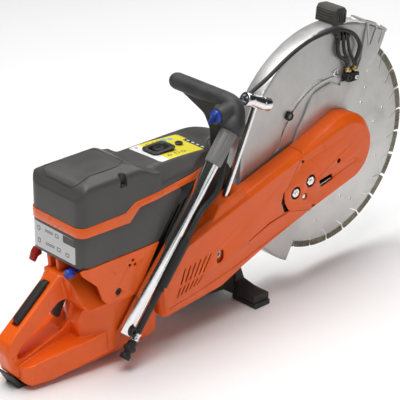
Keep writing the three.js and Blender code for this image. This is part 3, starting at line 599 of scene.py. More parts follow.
def rubber(name, colour, worn):
    """Matt rubber with a dusty bloom, pitting, paler worn edges and painted shade in grooves and
    corners.
    """
    n = Nodes(name)
    bloom = n.ramp(n.noise(35, 5), 0.35, 0.75)
    tint = n.mix(n.math("MULTIPLY", bloom, 0.4), colour, worn)
    rub = n.math("MULTIPLY", n.worn_edge(0.0014), n.ramp(n.noise(120, 4), 0.3, 0.6))
    tint = n.mix(n.math("MULTIPLY", rub, 0.55), tint, worn)
    # painted shade: darker in grooves and corners, from ambient occlusion
    tint = n.mix(n.ramp(n.hollow(0.006), 0.2, 0.85, 0.6, 0), tint, tuple(c * 0.3 for c in colour))
    pits = n.math("ADD", n.noise(1100, 3), n.math("MULTIPLY", n.noise(240, 3), 0.6))
    return n.set(Base_Color=tint, Roughness=n.ramp(bloom, 0, 1, 0.52, 0.7),
                 Normal=n.bump(pits, 0.22, 0.0003))


def label_print(name, paper, patches):
    """A printed film: paper colour, then boxes of colour given as (x range, y range, colour)."""
    n = Nodes(name)
    x, y, _ = n.split(n.vector("SUBTRACT", n.place, tuple(SPINDLE)))
    tint = n.mix(n.ramp(n.noise(30, 3), 0.3, 0.7), paper, tuple(c * 0.94 for c in paper))
    for (x0, x1), (y0, y1), colour in patches:
        inside = n.math("MULTIPLY", n.math("GREATER_THAN", x, x0 / 1000),
                        n.math("LESS_THAN", x, x1 / 1000))
        inside = n.math("MULTIPLY", inside, n.math("GREATER_THAN", y, y0 / 1000))
        inside = n.math("MULTIPLY", inside, n.math("LESS_THAN", y, y1 / 1000))
        tint = n.mix(inside, tint, colour)
    tint = n.mix(n.math("MULTIPLY", n.ramp(n.noise(420, 4), 0.6, 0.75), 0.25), tint,
                 (0.35, 0.33, 0.28))
    return n.set(Base_Color=tint, Roughness=n.ramp(n.noise(70, 4), 0.3, 0.7, 0.26, 0.42),
                 Normal=n.bump(n.noise(300, 2), 0.06, 0.0002), Coat_Weight=0.3)


ORANGE = plastic("orange_paint", (0.96, 0.130, 0.006), 0.33, 0.03, coat=0.15)
ORANGE_BAND = plastic("orange_band", (0.96, 0.136, 0.007), 0.30, 0.03, coat=0.2)
GREY = plastic("dark_grey_plastic", (0.082, 0.079, 0.075), 0.37, 0.06, 1300, 0.16, corner_shade_strength=0.5)
BLACK = plastic("black_plastic", (0.022, 0.022, 0.021), 0.44, 0.1, 1300, 0.16, corner_shade_strength=0.5)
BLUE = plastic("blue_plastic", (0.012, 0.055, 0.42), 0.3, 0.08, coat=0.3)
RED = plastic("red_plastic", (0.40, 0.016, 0.012), 0.34, 0.08, coat=0.2)
# painted highlight: this grey is lighter than the sleeve's dark plastic, standing in for the light
# along it
SLEEVE_PAINTED_HIGHLIGHT = plastic("sleeve_plastic_painted_highlight", (0.24, 0.24, 0.235), 0.36, 0.06, 1300, 0.16)
BEZEL = plastic("bezel_plastic", (0.045, 0.045, 0.043), 0.36, 0.1, corner_shade_strength=0.6)
LABEL_GREY = plastic("label_mark_grey", (0.12, 0.12, 0.12), 0.5, 0.05, corner_shade_strength=0.0)
LABEL_BLUE = plastic("label_mark_blue", (0.22, 0.45, 0.62), 0.4, 0.05, corner_shade_strength=0.0)
LABEL_WHITE = plastic("label_white", (0.74, 0.75, 0.76), 0.4, 0.04, relief=0.03, corner_shade_strength=0.1)
RUBBER = rubber("black_rubber", (0.018, 0.018, 0.017), (0.085, 0.082, 0.075))
HANDLE_RUBBER = rubber("ribbed_rubber", (0.032, 0.032, 0.028), (0.17, 0.165, 0.135))
HOSE = rubber("hose_rubber", (0.018, 0.018, 0.018), (0.07, 0.07, 0.07))
GRIP_RUBBER = rubber("grip_rubber", (0.028, 0.028, 0.03), (0.11, 0.11, 0.11))
GUARD = metal("guard_paint", (0.60, 0.59, 0.575), 0.36, (90.0, 90.0, 90.0), 0.05, 0.12, 0.72)
BLADE = blade_metal()
DIAMOND = diamond_metal()
STEEL = metal("steel", (0.62, 0.61, 0.59), 0.3, (900.0, 90.0, 900.0), 0.15)
CHROME = metal("chromed_steel", (0.88, 0.88, 0.89), 0.09, (140.0, 140.0, 140.0), 0.01, 0.04,
               corner_shade_strength=0.2)
CAST = metal("cast_metal", (0.40, 0.41, 0.41), 0.5, (700.0, 700.0, 700.0), 0.5, 0.25)
BRASS = metal("brass", (0.72, 0.52, 0.24), 0.26, (700.0, 700.0, 700.0), 0.1, 0.25)
FELT = rubber("filter_felt", (0.55, 0.50, 0.38), (0.7, 0.66, 0.52))


# ------------------------------------------------------------------ blade


def build_blade():
    pitch, first_slot, rim = 360 / 28, 3.2, 189.5
    outline, segments, notches = [], [], []
    for i in range(28):
        start = first_slot + i * pitch
        for side, radius in ((-1, rim), (-1, 173), (-0.6, 171.4), (0.6, 171.4), (1, 173), (1, rim)):
            lean = 0.2 * (191 - radius)
            outline.append(polar(radius, start - lean + side * math.degrees(1.0 / radius)))
        outline += arc(0, 0, rim, start + 0.9, start + pitch - 0.9, 9)
        segments.append(prism("y", sector(188.4, 200, start + 0.72, start + pitch - 0.72), -1.9,
            1.9))
        middle = start + pitch / 2
        if i % 2:
            for k in range(5):
                angle = middle + (k - 2) * 1.9
                cell = [polar(190.2, angle - 0.62), polar(190.2, angle + 0.28),
                        polar(198.4, angle + 0.62), polar(198.4, angle - 0.28)]
                notches += [prism("y", cell, -4, -1.0), prism("y", cell, 1.0, 4)]
        else:
            for k in range(6):
                angle = middle + (k - 2.5) * 1.75
                cell = [polar(192.5, angle - 0.14), polar(192.5, angle + 0.14),
                        polar(201, angle + 0.14), polar(201, angle - 0.14)]
                notches += [prism("y", cell, -4, -1.6), prism("y", cell, 1.6, 4)]
    core = prism("y", outline, -1.5, 1.5)
    holes = [rod_y(10.4, 0, 0, -5, 5, 48)]
    for radius, first in ((152, 46), (128, 38), (105, 30)):
        for i in range(10):
            x, z = polar(radius, first + 36 * i)
            holes.append(rod_y(3, x, z, -5, 5, 20))
    cut(core, bundle(*holes))
    core = piece("blade_core", core, BLADE, "blade_unit", ["blade"])
    ring = cut(bundle(*segments), bundle(*notches))
    piece("blade_segments", ring, DIAMOND, "blade_unit", edge=0.2)


# ------------------------------------------------------------------ blade guard


def ease(start, end, value):
    share = min(1, max(0, (value - start) / (end - start)))
    return share * share * (3 - 2 * share)


def build_guard():
    front = [(22, 40), (45, 92), (62, 115), (95, 128, 10), (108, 140), (119, 156, 12), (134, 184)]
    outline = rounded(front, 3) + arc(0, 0, 218, GUARD_FROM, GUARD_TO, 72)
    outline += [(-92, -166), (-30, -54)] + arc(0, 0, 48, 250, 420, 24)
    web = prism("y", outline, -14, -11.5)
    rim = swept_sector([
        (215, -11.5), (215, -14), (221.5, -14), (223.8, -13.3), (225.4, -11.8), (226, -9.5),
        (226, 21), (225.4, 23), (223.6, 24), (196, 24), (196, 21.5), (221.5, 21.5), (223.4, 19),
        (223.4, -8.5), (221.5, -11.5),
    ], GUARD_FROM, GUARD_TO, 110)
    step = rounded([(34, 52), (45, 92), (62, 115), (95, 128, 10), (108, 140), (119, 156, 12),
        (131, 181), (126, 187), (82, 208, 2), (77, 192, 20), (68, 146, 16), (54, 121, 12),
        (34, 114, 16), (14, 118, 12)], 0, 8)
    for angle in range(92, 237, 3):
        step.append(polar(HUB_STEP + (HUB_STEP_FRONT - HUB_STEP) * ease(140, 112, angle), angle))
    step += arc(0, 0, 30, 236, 410, 20)
    raised = prism("y", step, -17.6, -13)
    bevelled(raised, 1.6, 4, 40)
    shell = join(web, rim, raised)
    tabs = [swept_sector([(225, -15.5), (231.5, -15.5), (231.5, 22), (225, 22)], a, b, 8)
            for a, b in ((53.2, 59.4), (61.6, 69.6))]
    join(shell, *[bevelled(tab, 0.9, 2) for tab in tabs])
    ribs = [
        [(85, 166), (88, 166), (85, 213), (80, 214)],
        [(121, 190), (125, 188), (118, 164), (112, 166)],
    ]
    join(shell, *[bevelled(prism("y", rib, -19, -14), 1, 2) for rib in ribs])
    groove = [(88.5, 169), (91, 167.5), (107, 199), (103, 202)]
    inner_edge = [polar(129 + 7 * k / 44, 87 + 2 * k) for k in range(45)]
    outer_edge = [polar(141 + 12 * k / 44, 87 + 2 * k) for k in range(45)]
    channel = inner_edge + outer_edge[::-1]
    end_x, end_z = polar(135, 87)
    cut(shell, prism("y", groove, -20, -15.2), prism("y", channel, -14.6, -12.2),
        rod_y(7.7, end_x, end_z, -14.7, -12.1), rod_y(26, 0, 0, -30, 0, 48))
    shell = piece("guard_shell_skin", shell, GUARD, "guard", ["guard_shell"], 0.45, 2)
    ring = lathe([(4.2, 0), (7.4, 0), (7.4, 1.6), (6.6, 2.4), (5, 2.4), (4.2, 1.6)],
                 (end_x + 1, -12.3, end_z), (0, -1, 0))
    piece("guard_channel_stop", ring, CHROME, "guard")

    knob = lathe([(0, 0), (8, 0), (8, 5.5), (7.2, 6.6), (4.4, 6.6), (4.4, 3), (0, 3)],
                 (-111, -13.6, 86), (0, -1, 0), 40)
    ridges = [prism("y", circle(-111 + 8.4 * math.cos(a), 86 + 8.4 * math.sin(a), 1.1, 10), -30,
        -10) for a in [math.radians(30 * k) for k in range(12)]]
    cut(knob, bundle(*ridges))
    piece("guard_lock_knob", knob, BLACK, "guard", edge=0.3)
    socket = cut(rod_y(4.2, -111, 86, -18.5, -15, 24),
        prism("y", circle(-111, 86, 2.4, 6), -30, -17))
    piece("guard_lock_screw", socket, STEEL, "guard", edge=0.2)

    block = layers("y", lambda inset: rounded([(-4 + inset, 220), (-1 + inset, 249 - inset, 6),
        (5, 256 - inset, 5), (24, 253.8 - inset, 5), (30 - inset, 247 - inset, 5),
        (27 - inset, 217)], 0, 5), [(3, -16), (1.2, -15.2), (0.3, -13.4), (0, -11), (0, 27),
        (0.3, 29.4), (1.2, 31.2), (3, 32)])
    cut(block, rod_y(226.6, 0, 0, -60, 60, 160))
    slots = []
    for k in range(5):
        z = 228.5 + 4.8 * k
        slots.append(box((-12, 0.107 * (z - 222) - 2.3), (-12.5, 28.5), (z, z + 1.8)))
    for k in range(4):
        x = 2.6 + 6.2 * k
        slots.append(box((x, x + 1.8), (-30, -14.4), (229, 247 - (k in (0, 3)) * 3)))
        slots.append(box((x, x + 1.8), (30.4, 40), (229, 247 - (k in (0, 3)) * 3)))
    cut(block, *slots)
    block = piece("guard_handle_grip", block, HANDLE_RUBBER, "guard", ["guard_handle"], 0.7, 2)
    clamp = prism("y", rounded([(-8, 219), (31, 212), (31, 199), (24, 194), (6, 197), (1, 203)], 2),
        -23.4, -17)
    tunnel = [sweep(smooth_path([(7 + 9 * k, -20.5, 226), (9 + 8.5 * k, -20.5, 190)], 4), 3.9)
              for k in range(3)]
    cut(clamp, *tunnel)
    piece("guard_hose_clamp", clamp, BLACK, "guard", edge=0.8)

    block = bevelled(prism("y", rounded([(24, 131.7), (22, 120, 3), (27, 115, 3), (48, 114, 3),
        (54, 118, 3), (54, 129.3), (40, 129.8), (37, 131.7)], 1.2), -28, -14.4), 1.4, 3)
    dish = lathe([(4.4, 0), (6.4, 0), (6.4, 4), (4.4, 4)], (33, -25.8, 122.4), (0, -1, 0), 32)
    parting = box((36.6, 37.6), (-40, -26.9), (100, 140))
    cut(block, dish, parting)
    piece("guard_valve", block, BLACK, "guard", ["guard_valve_block"], 0.3)
    screw = lathe([(0, 0), (4.4, 0), (4.4, 1.6), (3.6, 2.3), (2.3, 2.3), (2.3, 0.8), (0, 0.8)],
                  (46, -27.8, 121.6), (0, -1, 0), 32)
    piece("guard_valve_screw", screw, CHROME, "guard")
    for name, base, tip, tail in (
            ("lower", (31.3, -21, 133.4), (28.6, -21, 145), "guard_nipple_lower"),
            ("upper", (46.2, -21, 131.4), (48.4, -21, 142.6), "guard_nipple_upper")):
        along = Vector(tip) - Vector(base)
        nut = lathe([(0, 0), (5.6, 0), (6.2, 0.6), (6.2, 4.4), (5.6, 5), (0, 5)], base, along, 6)
        barb = lathe([(0, 4), (4.1, 4), (4.1, 7), (4.9, 7.2), (4.1, 10.4), (0, 10.4)], base, along,
            28)
        piece("hose_tail_" + name, join(nut, barb), BRASS, "guard", [tail], 0.3)

    outer = [(-236, -18, 150), (-217, -18.3, 152), (-196, -18.3, 161), (-169, -18.3, 172),
             (-126, -18.3, 194), (-91, -18.3, 208), (-59, -18.3, 216), (-18, -19, 219.5),
             (13, -21, 216), (42, -22, 201), (58, -22, 178), (54, -22, 160), (50.3, -21.2, 152),
             (48.2, -21, 142)]
    hose = sweep(smooth_path(outer, 8), 3.6, 20)
    inner = [(8, -18.5, 207), (5, -19, 196), (3, -20, 182), (8, -21, 168), (20, -21, 160),
             (26.5, -21, 152.4), (28.6, -21, 144)]
    piece("guard_hose_short", sweep(smooth_path(inner, 8), 3.6, 20), HOSE, "guard",
          ["guard_hose_inner"])
    second = [(17, -20.5, 206), (17.5, -20.5, 192), (19, -21.5, 174), (25, -22.5, 160),
        (30, -21.5, 148)]
    third = [(26, -20.5, 205), (29, -20.5, 190), (33, -21, 172), (41, -21.5, 156), (46, -21.4, 146)]
    piece("guard_hose_middle", sweep(smooth_path(second, 8), 2.9, 18), HOSE, "guard")
    piece("guard_hose_right", sweep(smooth_path(third, 8), 2.9, 18), HOSE, "guard")
    return hose


# ------------------------------------------------------------------ cutting arm


def arm_outline(inset, nose=1.0):
    """Side outline of the covers; the inset grows by up to nose times over the top of the cap."""
    cap = []
    for i in range(41):
        angle = 80 - 164 * i / 40
        share = min(1, max(0, (angle + 10) / 75))
        widen = 1 + (nose - 1) * share * share * (3 - 2 * share)
        u, v = polar(68 - inset * widen, angle)
        cap.append(on_arm(-u, v))
    rear = rounded([
        (114, -60 + inset), (222, -58 + inset, 60), (290, -60 + inset, 60), (342, -64 + inset, 30),
        (474 - inset, -36 + inset, 14), (463 - inset, 24, 20), (412 - inset, 70 - inset, 16),
        (330, 70 - inset), (97, 64 - inset),
    ], 0, 6)
    return cap + [on_arm(a, b) for a, b in rear]


def arm_prism(points, start, end):
    return prism("y", [on_arm(a, b) for a, b in points], start, end)


def build_arm():
    faces = [(9.0, ARM_OUTER_Y), (8.2, -54.95), (7.3, -54.6), (6.3, -53.8), (1.2, -47.4),
             (0.4, -46), (0, -44), (0, ARM_INNER_Y)]
    shell = layers("y", lambda inset: arm_outline(inset, 2.3), faces)
    cut(shell, layers("y", lambda inset: arm_outline(inset, 2.1),
        [(11, -52.4), (4, -44), (3, -40), (3, 0)]))
    seam = [(96, 66), (98, 58, 3), (107, 55, 4), (152, 20, 8), (160, 18, 3), (165, -2, 10),
        (160, -24, 6), (113, -54, 6), (98, -80)]
    def ahead(shift):
        line = rounded([(-150, 120), (95, 120)] + seam + [(-150, -120)], 0, 5)
        return arm_prism([(a + shift if a > 0 else a, b) for a, b in line], -100, 100)
    rear = cut(copy(shell), ahead(1.3))
    front = only(shell, ahead(0))

    recess = [rod_y(NUT_HOLE_RADIUS, *on_arm(a, 0), -60, -20, 40) for a in NUTS]
    recess.append(rod_y(6.2, *on_arm(119, -20), -60, -50, 32))
    hole = rod_y(4.8, *on_arm(24, -6), -60, -51, 32)
    pocket = arm_prism(rounded([(79, -12.5), (79, -28), (47, -31), (46, -18.5)], 1.2), -60, -47)
    groove = hull([(*on_arm(a, b), y) for a, b, y in (
        (50, -20, -60), (50, -30, -60), (-14, -33, -60), (-14, -21, -60),
        (50, -21, -53), (50, -29, -53), (-13, -32, -54.7), (-13, -22, -54.7))])
    groove.data.transform(Matrix(((1, 0, 0, 0), (0, 0, 1, 0), (0, 1, 0, 0), (0, 0, 0, 1))))
    groove.data.flip_normals()
    crease = arm_prism([(76, -5), (20, 3), (-16, 6), (-16, 7), (20, 4.2), (76, -3.6)], -60, -54.5)
    slits = [arm_prism([(108, 50), (104, 44), (100, 46), (103, 52)], -60, -51),
             arm_prism([(100, -50), (108, -46), (110, -50), (103, -54)], -60, -51)]
    cut(front, *recess, hole, pocket, groove, crease, *slits)
    lip = arm_prism([(77, -25.6), (77, -23.2), (49, -26.4), (49, -28.8)], -52.4, -50)
    piece("arm_pocket_lip", lip, STEEL, edge=0.3)
    piece("arm_cover_front", front, ORANGE, "frame", ["arm_front_cover"], 0.7, 3)

    boss = bevelled(arm_prism([(232, 60), (238, 84), (298, 84), (330, 60)], -50, -18), 3, 3)
    bore = rod(WRENCH_FOOT, WRENCH_HEAD, 7.6)
    join(rear, cut(boss, layers("y", arm_outline, [(3.5, -52), (3.5, 0)])))
    cut(rear, bore)
    slots = []
    for k in range(6):
        for a, b, across, up in ((436 - 9.2 * k, -12 - 1.2 * k, 12 + 0.8 * k, 13 - 0.6 * k),
                                 (421 - 10 * k, 6 - 2.2 * k, 18 + 1.8 * k, 23)):
            slot = [(a + 2.3, b), (a - 2.3, b), (a - across - 2.3, b + up),
                (a - across + 2.3, b + up)]
            slots.append(arm_prism(rounded(slot, 1.3, 4), -60, -44))
    x, z = on_arm(TENSION_SCREW_BACK, 0)
    hole = prism("y", rounded([(x - 9, z - 14), (x + 9, z - 12), (x + 9, z + 11), (x - 6, z + 11)],
        8, 8), -60, -47)
    low_groove = arm_prism(rounded([(163, -24), (208, -17), (262, -18), (262, -16.6), (208, -13.6),
        (163, -19)], 1), -60, -53)
    foot_line = arm_prism([(176, -48.6), (302, -42.6), (384, -33.6), (458, -20), (458, -19),
        (384, -32.4), (302, -41.2), (176, -47)], -60, -54.2)
    stepped = [arm_prism(rounded([(156, 18), (163, 19), (173, 3), (171, -20), (158, -24),
        (150, -10)], 2), -60, -48)]
    cut(rear, *stepped)
    cut(rear, bundle(*slots), hole, low_groove, foot_line)
    piece("arm_cover_rear", rear, ORANGE, "frame", ["belt_guard"], 0.7, 3)
    steps = [arm_prism(rounded([(a, b), (a + 7, b), (a + 7, b - 9), (a, b - 9)], 1),
        -51.6 + 1.4 * k, -47) for k, (a, b) in enumerate(((159, 15), (161, 2), (159, -11)))]
    piece("arm_seam_latch", bundle(*steps), BLACK, edge=0.4)
    x, z = on_arm(TENSION_SCREW_BACK, 0)
    well = lathe([(0, 0), (7.4, 0), (7.4, 2.4), (6.4, 3.2), (4.2, 3.2), (4.2, 0.4), (0, 0.4)],
                 (x - 2, -48.4, z + 3), (0, -1, 0), 32)
    piece("arm_tension_screw", well, STEEL, "frame", ["belt_tension_screw"], 0.2)
    floor_plate = prism("y", rounded([(x - 12, z - 17), (x + 12, z - 15), (x + 12, z + 14),
        (x - 9, z + 14)], 8, 8), -48.4, -45)
    piece("arm_recess_floor", floor_plate, ORANGE)
    x, z = on_arm(119, -20)
    small = lathe([(0, 0), (4.6, 0), (5, 0.6), (5, 3), (4.4, 3.6), (0, 3.6)], (x, -49.6, z),
        (0, -1, 0), 6)
    piece("arm_small_nut", small, CHROME, edge=0.2)
    for name, a, node in (("front", NUTS[0], "arm_nut_front"), ("rear", NUTS[1], "arm_nut_rear")):
        x, z = on_arm(a, 0)
        collar = lathe([(0, 0), (11.4, 0), (11.4, 2), (10.6, 2.8), (0, 2.8)], (x, -47, z),
            (0, -1, 0), 40)
        nut = lathe([(3.4, 0), (8.2, 0), (8.9, 0.7), (8.9, 5.2), (8.1, 6), (3.4, 6)],
                    (x, -49, z), (0, -1, 0), 6)
        stud = lathe([(0, 0), (3.3, 0), (3.3, 8.4), (2.5, 9), (0, 9)], (x, -48, z), (0, -1, 0), 24)
        piece(f"arm_nut_{name}_seen", join(nut, stud), CHROME, "frame", [node], 0.2)
        piece(f"arm_nut_{name}_washer", collar, BLACK)


# ------------------------------------------------------------------ body shells


def body_plan(inset):
    right, left, back = BODY_RIGHT_Y + inset, 96 - inset, -602 + inset
    corners = [(back, right, 16), (-440, right, 60), (-355, right + 8, 60),
        (-298 - inset, -14 + inset / 2, 40), (-268, 22 + inset, 40),
        (-215 - inset, 42 + inset / 2, 20), (-203 - inset, 62, 14),
        (-215 - inset, 84 - inset / 2, 14), (-262, 92 - inset, 40), (-355, left - 1, 40),
        (-440, left), (back, left, 26)]
    return rounded(corners, 0, 6)


PANEL_GROOVE = 0.9
TRIM_TOP = [(-640, 35.5), (-508, 37), (-488, 50), (-361, 57), (-190, 57)]
TRIM_BOTTOM = [(-190, 44), (-372, 44), (-478, 38), (-500, 17), (-640, 20)]


def build_body():
    plan = prism("z", body_plan(0.5), 20, 150)
    block_side = rounded([(-640, 20), (-640, 76), (-601, 78, 30), (-588, 104, 32), (-545, 113, 60),
        (-500, 112, 30), (-476, 106, 30), (-446, 88, 30), (-428, 84), (-428, 20)], 0, 8)
    block_front = rounded([(-46, 20), (-44, 84), (-40, 102, 6), (-14, 110, 40), (27, 113, 80),
                           (70, 109, 60), (98, 92, 22), (104, 20)], 0, 8)
    deck_side = rounded([(-520, 20), (-520, 90), (-450, 89.5, 30), (-380, 87, 80), (-300, 81, 60),
                         (-240, 73, 40), (-210, 64, 14), (-199, 52), (-199, 20)], 0, 6)
    deck_front = rounded([(-46, 20), (-46, 52), (-42, 62, 6), (-14, 86.5, 12), (27, 90, 90),
                          (66, 88, 40), (98, 70, 22), (104, 20)], 0, 8)
    block = only(prism("y", block_side, -120, 160), prism("x", block_front, -660, -428))
    deck = only(prism("y", deck_side, -120, 160), prism("x", deck_front, -540, -190))
    cover = only(join(block, deck), plan)
    inside = copy(cover)
    moulded(cover, 1.4, 36)
    boss = only(rod((-511, -34, 78), (-511, -34, 130), 14), cover, keep_tools=True)
    shift = Vector((-415, 27, 0))
    shrink = Matrix.Translation(shift) @ Matrix.Diagonal(
        (0.978, 0.94, 0.94, 1)) @ Matrix.Translation(-shift)
    inside.data.transform(shrink)
    cut(cover, inside)
    join(cover, boss)
    below = prism("y", [(x, z + 0.3) for x, z in TRIM_TOP] + [(-190, -60), (-640, -60)], -200, 250)
    cut(cover, below)
    panel = rounded([(-592, -23, 12), (-560, -17.5, 40), (-500, -19, 18), (-477, -4, 20),
        (-474, 30, 60), (-480, 72, 20), (-592, 76, 20)], 0, 6)
    inner = rounded([(-590, -19.5, 12), (-560, -14, 40), (-502, -15.5, 18), (-480.5, -3, 20),
                     (-477.5, 30, 60), (-483, 69, 20), (-590, 73, 20)], 0, 6)

    def panel_ring():
        return cut(prism("z", panel, 60, 140), prism("z", inner, 50, 150))

    lowered = only(copy(cover, (0, 0, -PANEL_GROOVE)), panel_ring())
    cut(cover, cut(only(copy(cover), panel_ring()), lowered))
    cut(cover, prism("z", rectangle(-376, 27, 46, 34, 9), 40, 120),
        prism("z", rectangle(-331, 27, 12, 8, 3.6), 60, 120),
        rod((-511, -38, 84), (-511, -38, 130), 7.2),
        box((-518.2, -503.8), (-60, -41), (84, 130)))
    label_region = prism("z", rounded([(-412, 66, 7), (-407, -13, 7), (-302, -13, 7),
        (-301, 66, 7)]), 60, 110)
    label = cover_skin(cover, label_region, (0, 0, 0.35))
    paper = label_print("label_print", (0.86, 0.74, 0.06),
        [((-420, -389), (-20, 80), (0.85, 0.85, 0.84)),
        ((-311, -290), (-20, 40), (0.02, 0.02, 0.02))])
    piece("deck_label", label, paper, shade=50)
    marks = []
    for x, y, width, height in ((-375, 55, 9, 7), (-362, 55, 7, 7), (-349, 56, 11, 8),
            (-360, -1, 10, 7), (-346, -1, 9, 7), (-377, -2, 8, 6), (-400, 56, 5, 4)):
        marks.append(prism("z", rectangle(x, y, width, height, 2), 60, 110))
        marks[-1] = cut(marks[-1], prism("z", rectangle(x, y, width - 2.6, height - 2.6, 1), 50,
            120))
    piece("deck_label_marks", cover_skin(cover, bundle(*marks), (0, 0, 0.5)), LABEL_GREY, shade=50)
    spots = [prism("z", circle(x, y, 5, 24), 60, 110) for x, y in ((-326, 54), (-338, 57))]
    piece("deck_label_spots", cover_skin(cover, bundle(*spots), (0, 0, 0.5)), LABEL_BLUE, shade=50)
    bars = [prism("z", rectangle(-305.5, y, 4, 7, 1), 60, 110) for y in (-4, 8, 20, 32)]
    piece("deck_label_bars", cover_skin(cover, bundle(*bars), (0, 0, 0.5)), LABEL_WHITE, shade=50)
    piece("top_cover_skin", cover, GREY, "frame", ["top_cover"], shade=40)

    bezel = layers("z", lambda inset: rectangle(-376, 27, 45.6 - 2 * inset, 33.6 - 2 * inset, 9, 6),
                   [(0, 72), (0, 89.3), (-1.6, 89.6), (-2.4, 90.6), (-1.9, 92), (0.4, 92.6)])
    cut(bezel, layers("z", lambda inset: rectangle(-376, 27, 35 - 2 * inset, 23 - 2 * inset, 8, 6),
                      [(2, 74), (0, 90), (-1.4, 93)]))
    piece("deck_bezel", bezel, BEZEL, edge=0.4)
    eye = lathe([(2.6, 0), (6.8, 0), (7, 1.6), (6, 2.6), (3.4, 2.6), (2.6, 1.6)], (-331, 27, 85.6),
        (0.05, 0, 1))
    piece("deck_sight_ring", eye, BEZEL)
    knob = lathe([(0, 0), (8, 0), (8, 38), (10.4, 39), (11, 41), (11, 46), (9.6, 49), (6, 50),
        (0, 50)], (-378, 26, 43), (0, 0, 1), 40)
    flutes = [rod((-378 + 12.4 * math.cos(a), 26 + 12.4 * math.sin(a), 80),
                  (-378 + 12.4 * math.cos(a), 26 + 12.4 * math.sin(a), 96), 2.8, 16)
              for a in [math.radians(60 * k) for k in range(6)]]
    cut(knob, *flutes, box((-384, -372), (25, 27), (91.6, 99)))
    piece("decompression_button", knob, BLACK, "decompression", ["decompression_knob"], 0.5)
    screw = lathe([(0, 0), (5.6, 0), (5.6, 3), (4.8, 4), (3, 4), (3, 1.6), (0, 1.6)],
                  (-511, -37.6, 84.4), (0, 0, 1), 36)
    piece("cover_screw_right", screw, BLACK, edge=0.2)

    ring = cut(prism("z", body_plan(-0.7), -80, 160), prism("z", body_plan(3), -90, 170))
    band_side = rounded([(x, z, 8) for x, z in TRIM_TOP] + [(x, z, 8) for x, z in TRIM_BOTTOM], 0,
        5)
    band = only(ring, prism("y", band_side, -150, 200))
    piece("cover_band", band, ORANGE_BAND, "frame", ["cover_trim"], 0.8, 3)

    lower = [(x, z - 0.4, 8) for x, z in TRIM_BOTTOM[1:]]
    side = rounded(lower + [(-640, -36), (-439, -36, 3)], 0, 5)
    tray = only(prism("y", side, -150, 200), prism("z", body_plan(0.3), -80, 160))
    bevelled(tray, 1.6, 3, 40)
    cut(tray, prism("z", body_plan(3.4), -33, 160), rod((-470, 26, -8), (-420, 26, -8), 17))
    rear_label = cover_skin(tray, prism("x", rounded(
        [(84, -31, 3), (84, 15, 3), (-26, 13, 3), (-26, -31, 3)]), -640, -590), (-0.35, 0, 0))
    marks = []
    for y, z, width, height in ((66, 4, 7, 8), (66, -18, 7, 8), (40, 5, 20, 4), (20, 5, 9, 7),
                                (38, -18, 22, 4), (16, -18, 9, 7), (-6, -20, 9, 7)):
        outer = prism("x", rectangle(y, z, width, height, 1.5), -640, -590)
        marks.append(cut(outer, prism("x", rectangle(y, z, width - 2.4, height - 2.4, 0.6), -660,
            -570)))
    square = prism("x", rounded([(4, 0), (-26, 0), (-26, 13), (4, 13)], 1), -640, -590)
    piece("rear_label_sheet", rear_label, LABEL_WHITE, shade=50)
    piece("rear_label_marks", cover_skin(tray, bundle(*marks), (-0.5, 0, 0)), LABEL_GREY, shade=50)
    piece("rear_label_square", cover_skin(tray, square, (-0.5, 0, 0)), GREY, shade=50)
    piece("housing_skin", tray, GREY, "frame", ["filter_housing"], 0.3)

    outline = rounded([(-604, -37), (-601, -46, 8), (-571, -74, 14), (-561, -103, 10),
        (-548, -116, 10), (-486, -116, 3), (-438, -37)], 0, 6)
    plate = bevelled(prism("y", outline, BODY_RIGHT_Y - 1.2, BODY_RIGHT_Y + 4), 1.2, 3)
    holes = [rod_y(2.9, x, z, -60, -20, 24) for x, z in ((-496, -51), (-503, -58), (-492, -60))]
    cut(plate, *holes, rod_y(6.8, -528, -98, -60, -40.5), rod_y(3, -528, -98, -60, -20))
    piece("side_cover_skin", plate, ORANGE, "frame", ["side_cover"], 0.25)
    shroud = bevelled(prism("y", rounded([(-438, -128), (-438, -112), (-469, -112), (-469, -38),
        (-438, -38), (-434, -34), (-372, 41), (-258, 41), (-246, 20, 8), (-258, -60, 8),
        (-300, -100)], 0, 5), -17, -12.5), 1, 2)
    ribs = [prism("y", [(x, z - 52), (x + 2.4, z - 52), (x + 40, z), (x + 37.6, z)], -19.4, -16)
            for x, z in ((-424 + 15 * k, -8 + 7 * k) for k in range(7))]
    piece("cylinder_shroud", join(shroud, *ribs), BLACK, edge=0.3)
    ring = lathe([(3.2, 0), (6.4, 0), (6.4, 1.2), (5.6, 2), (4, 2), (3.2, 1.2)], (-528, -40.6, -98),
                 (0, -1, 0), 36)
    piece("side_cover_screw", ring, BLACK)


# ------------------------------------------------------------------ tank and rear handle


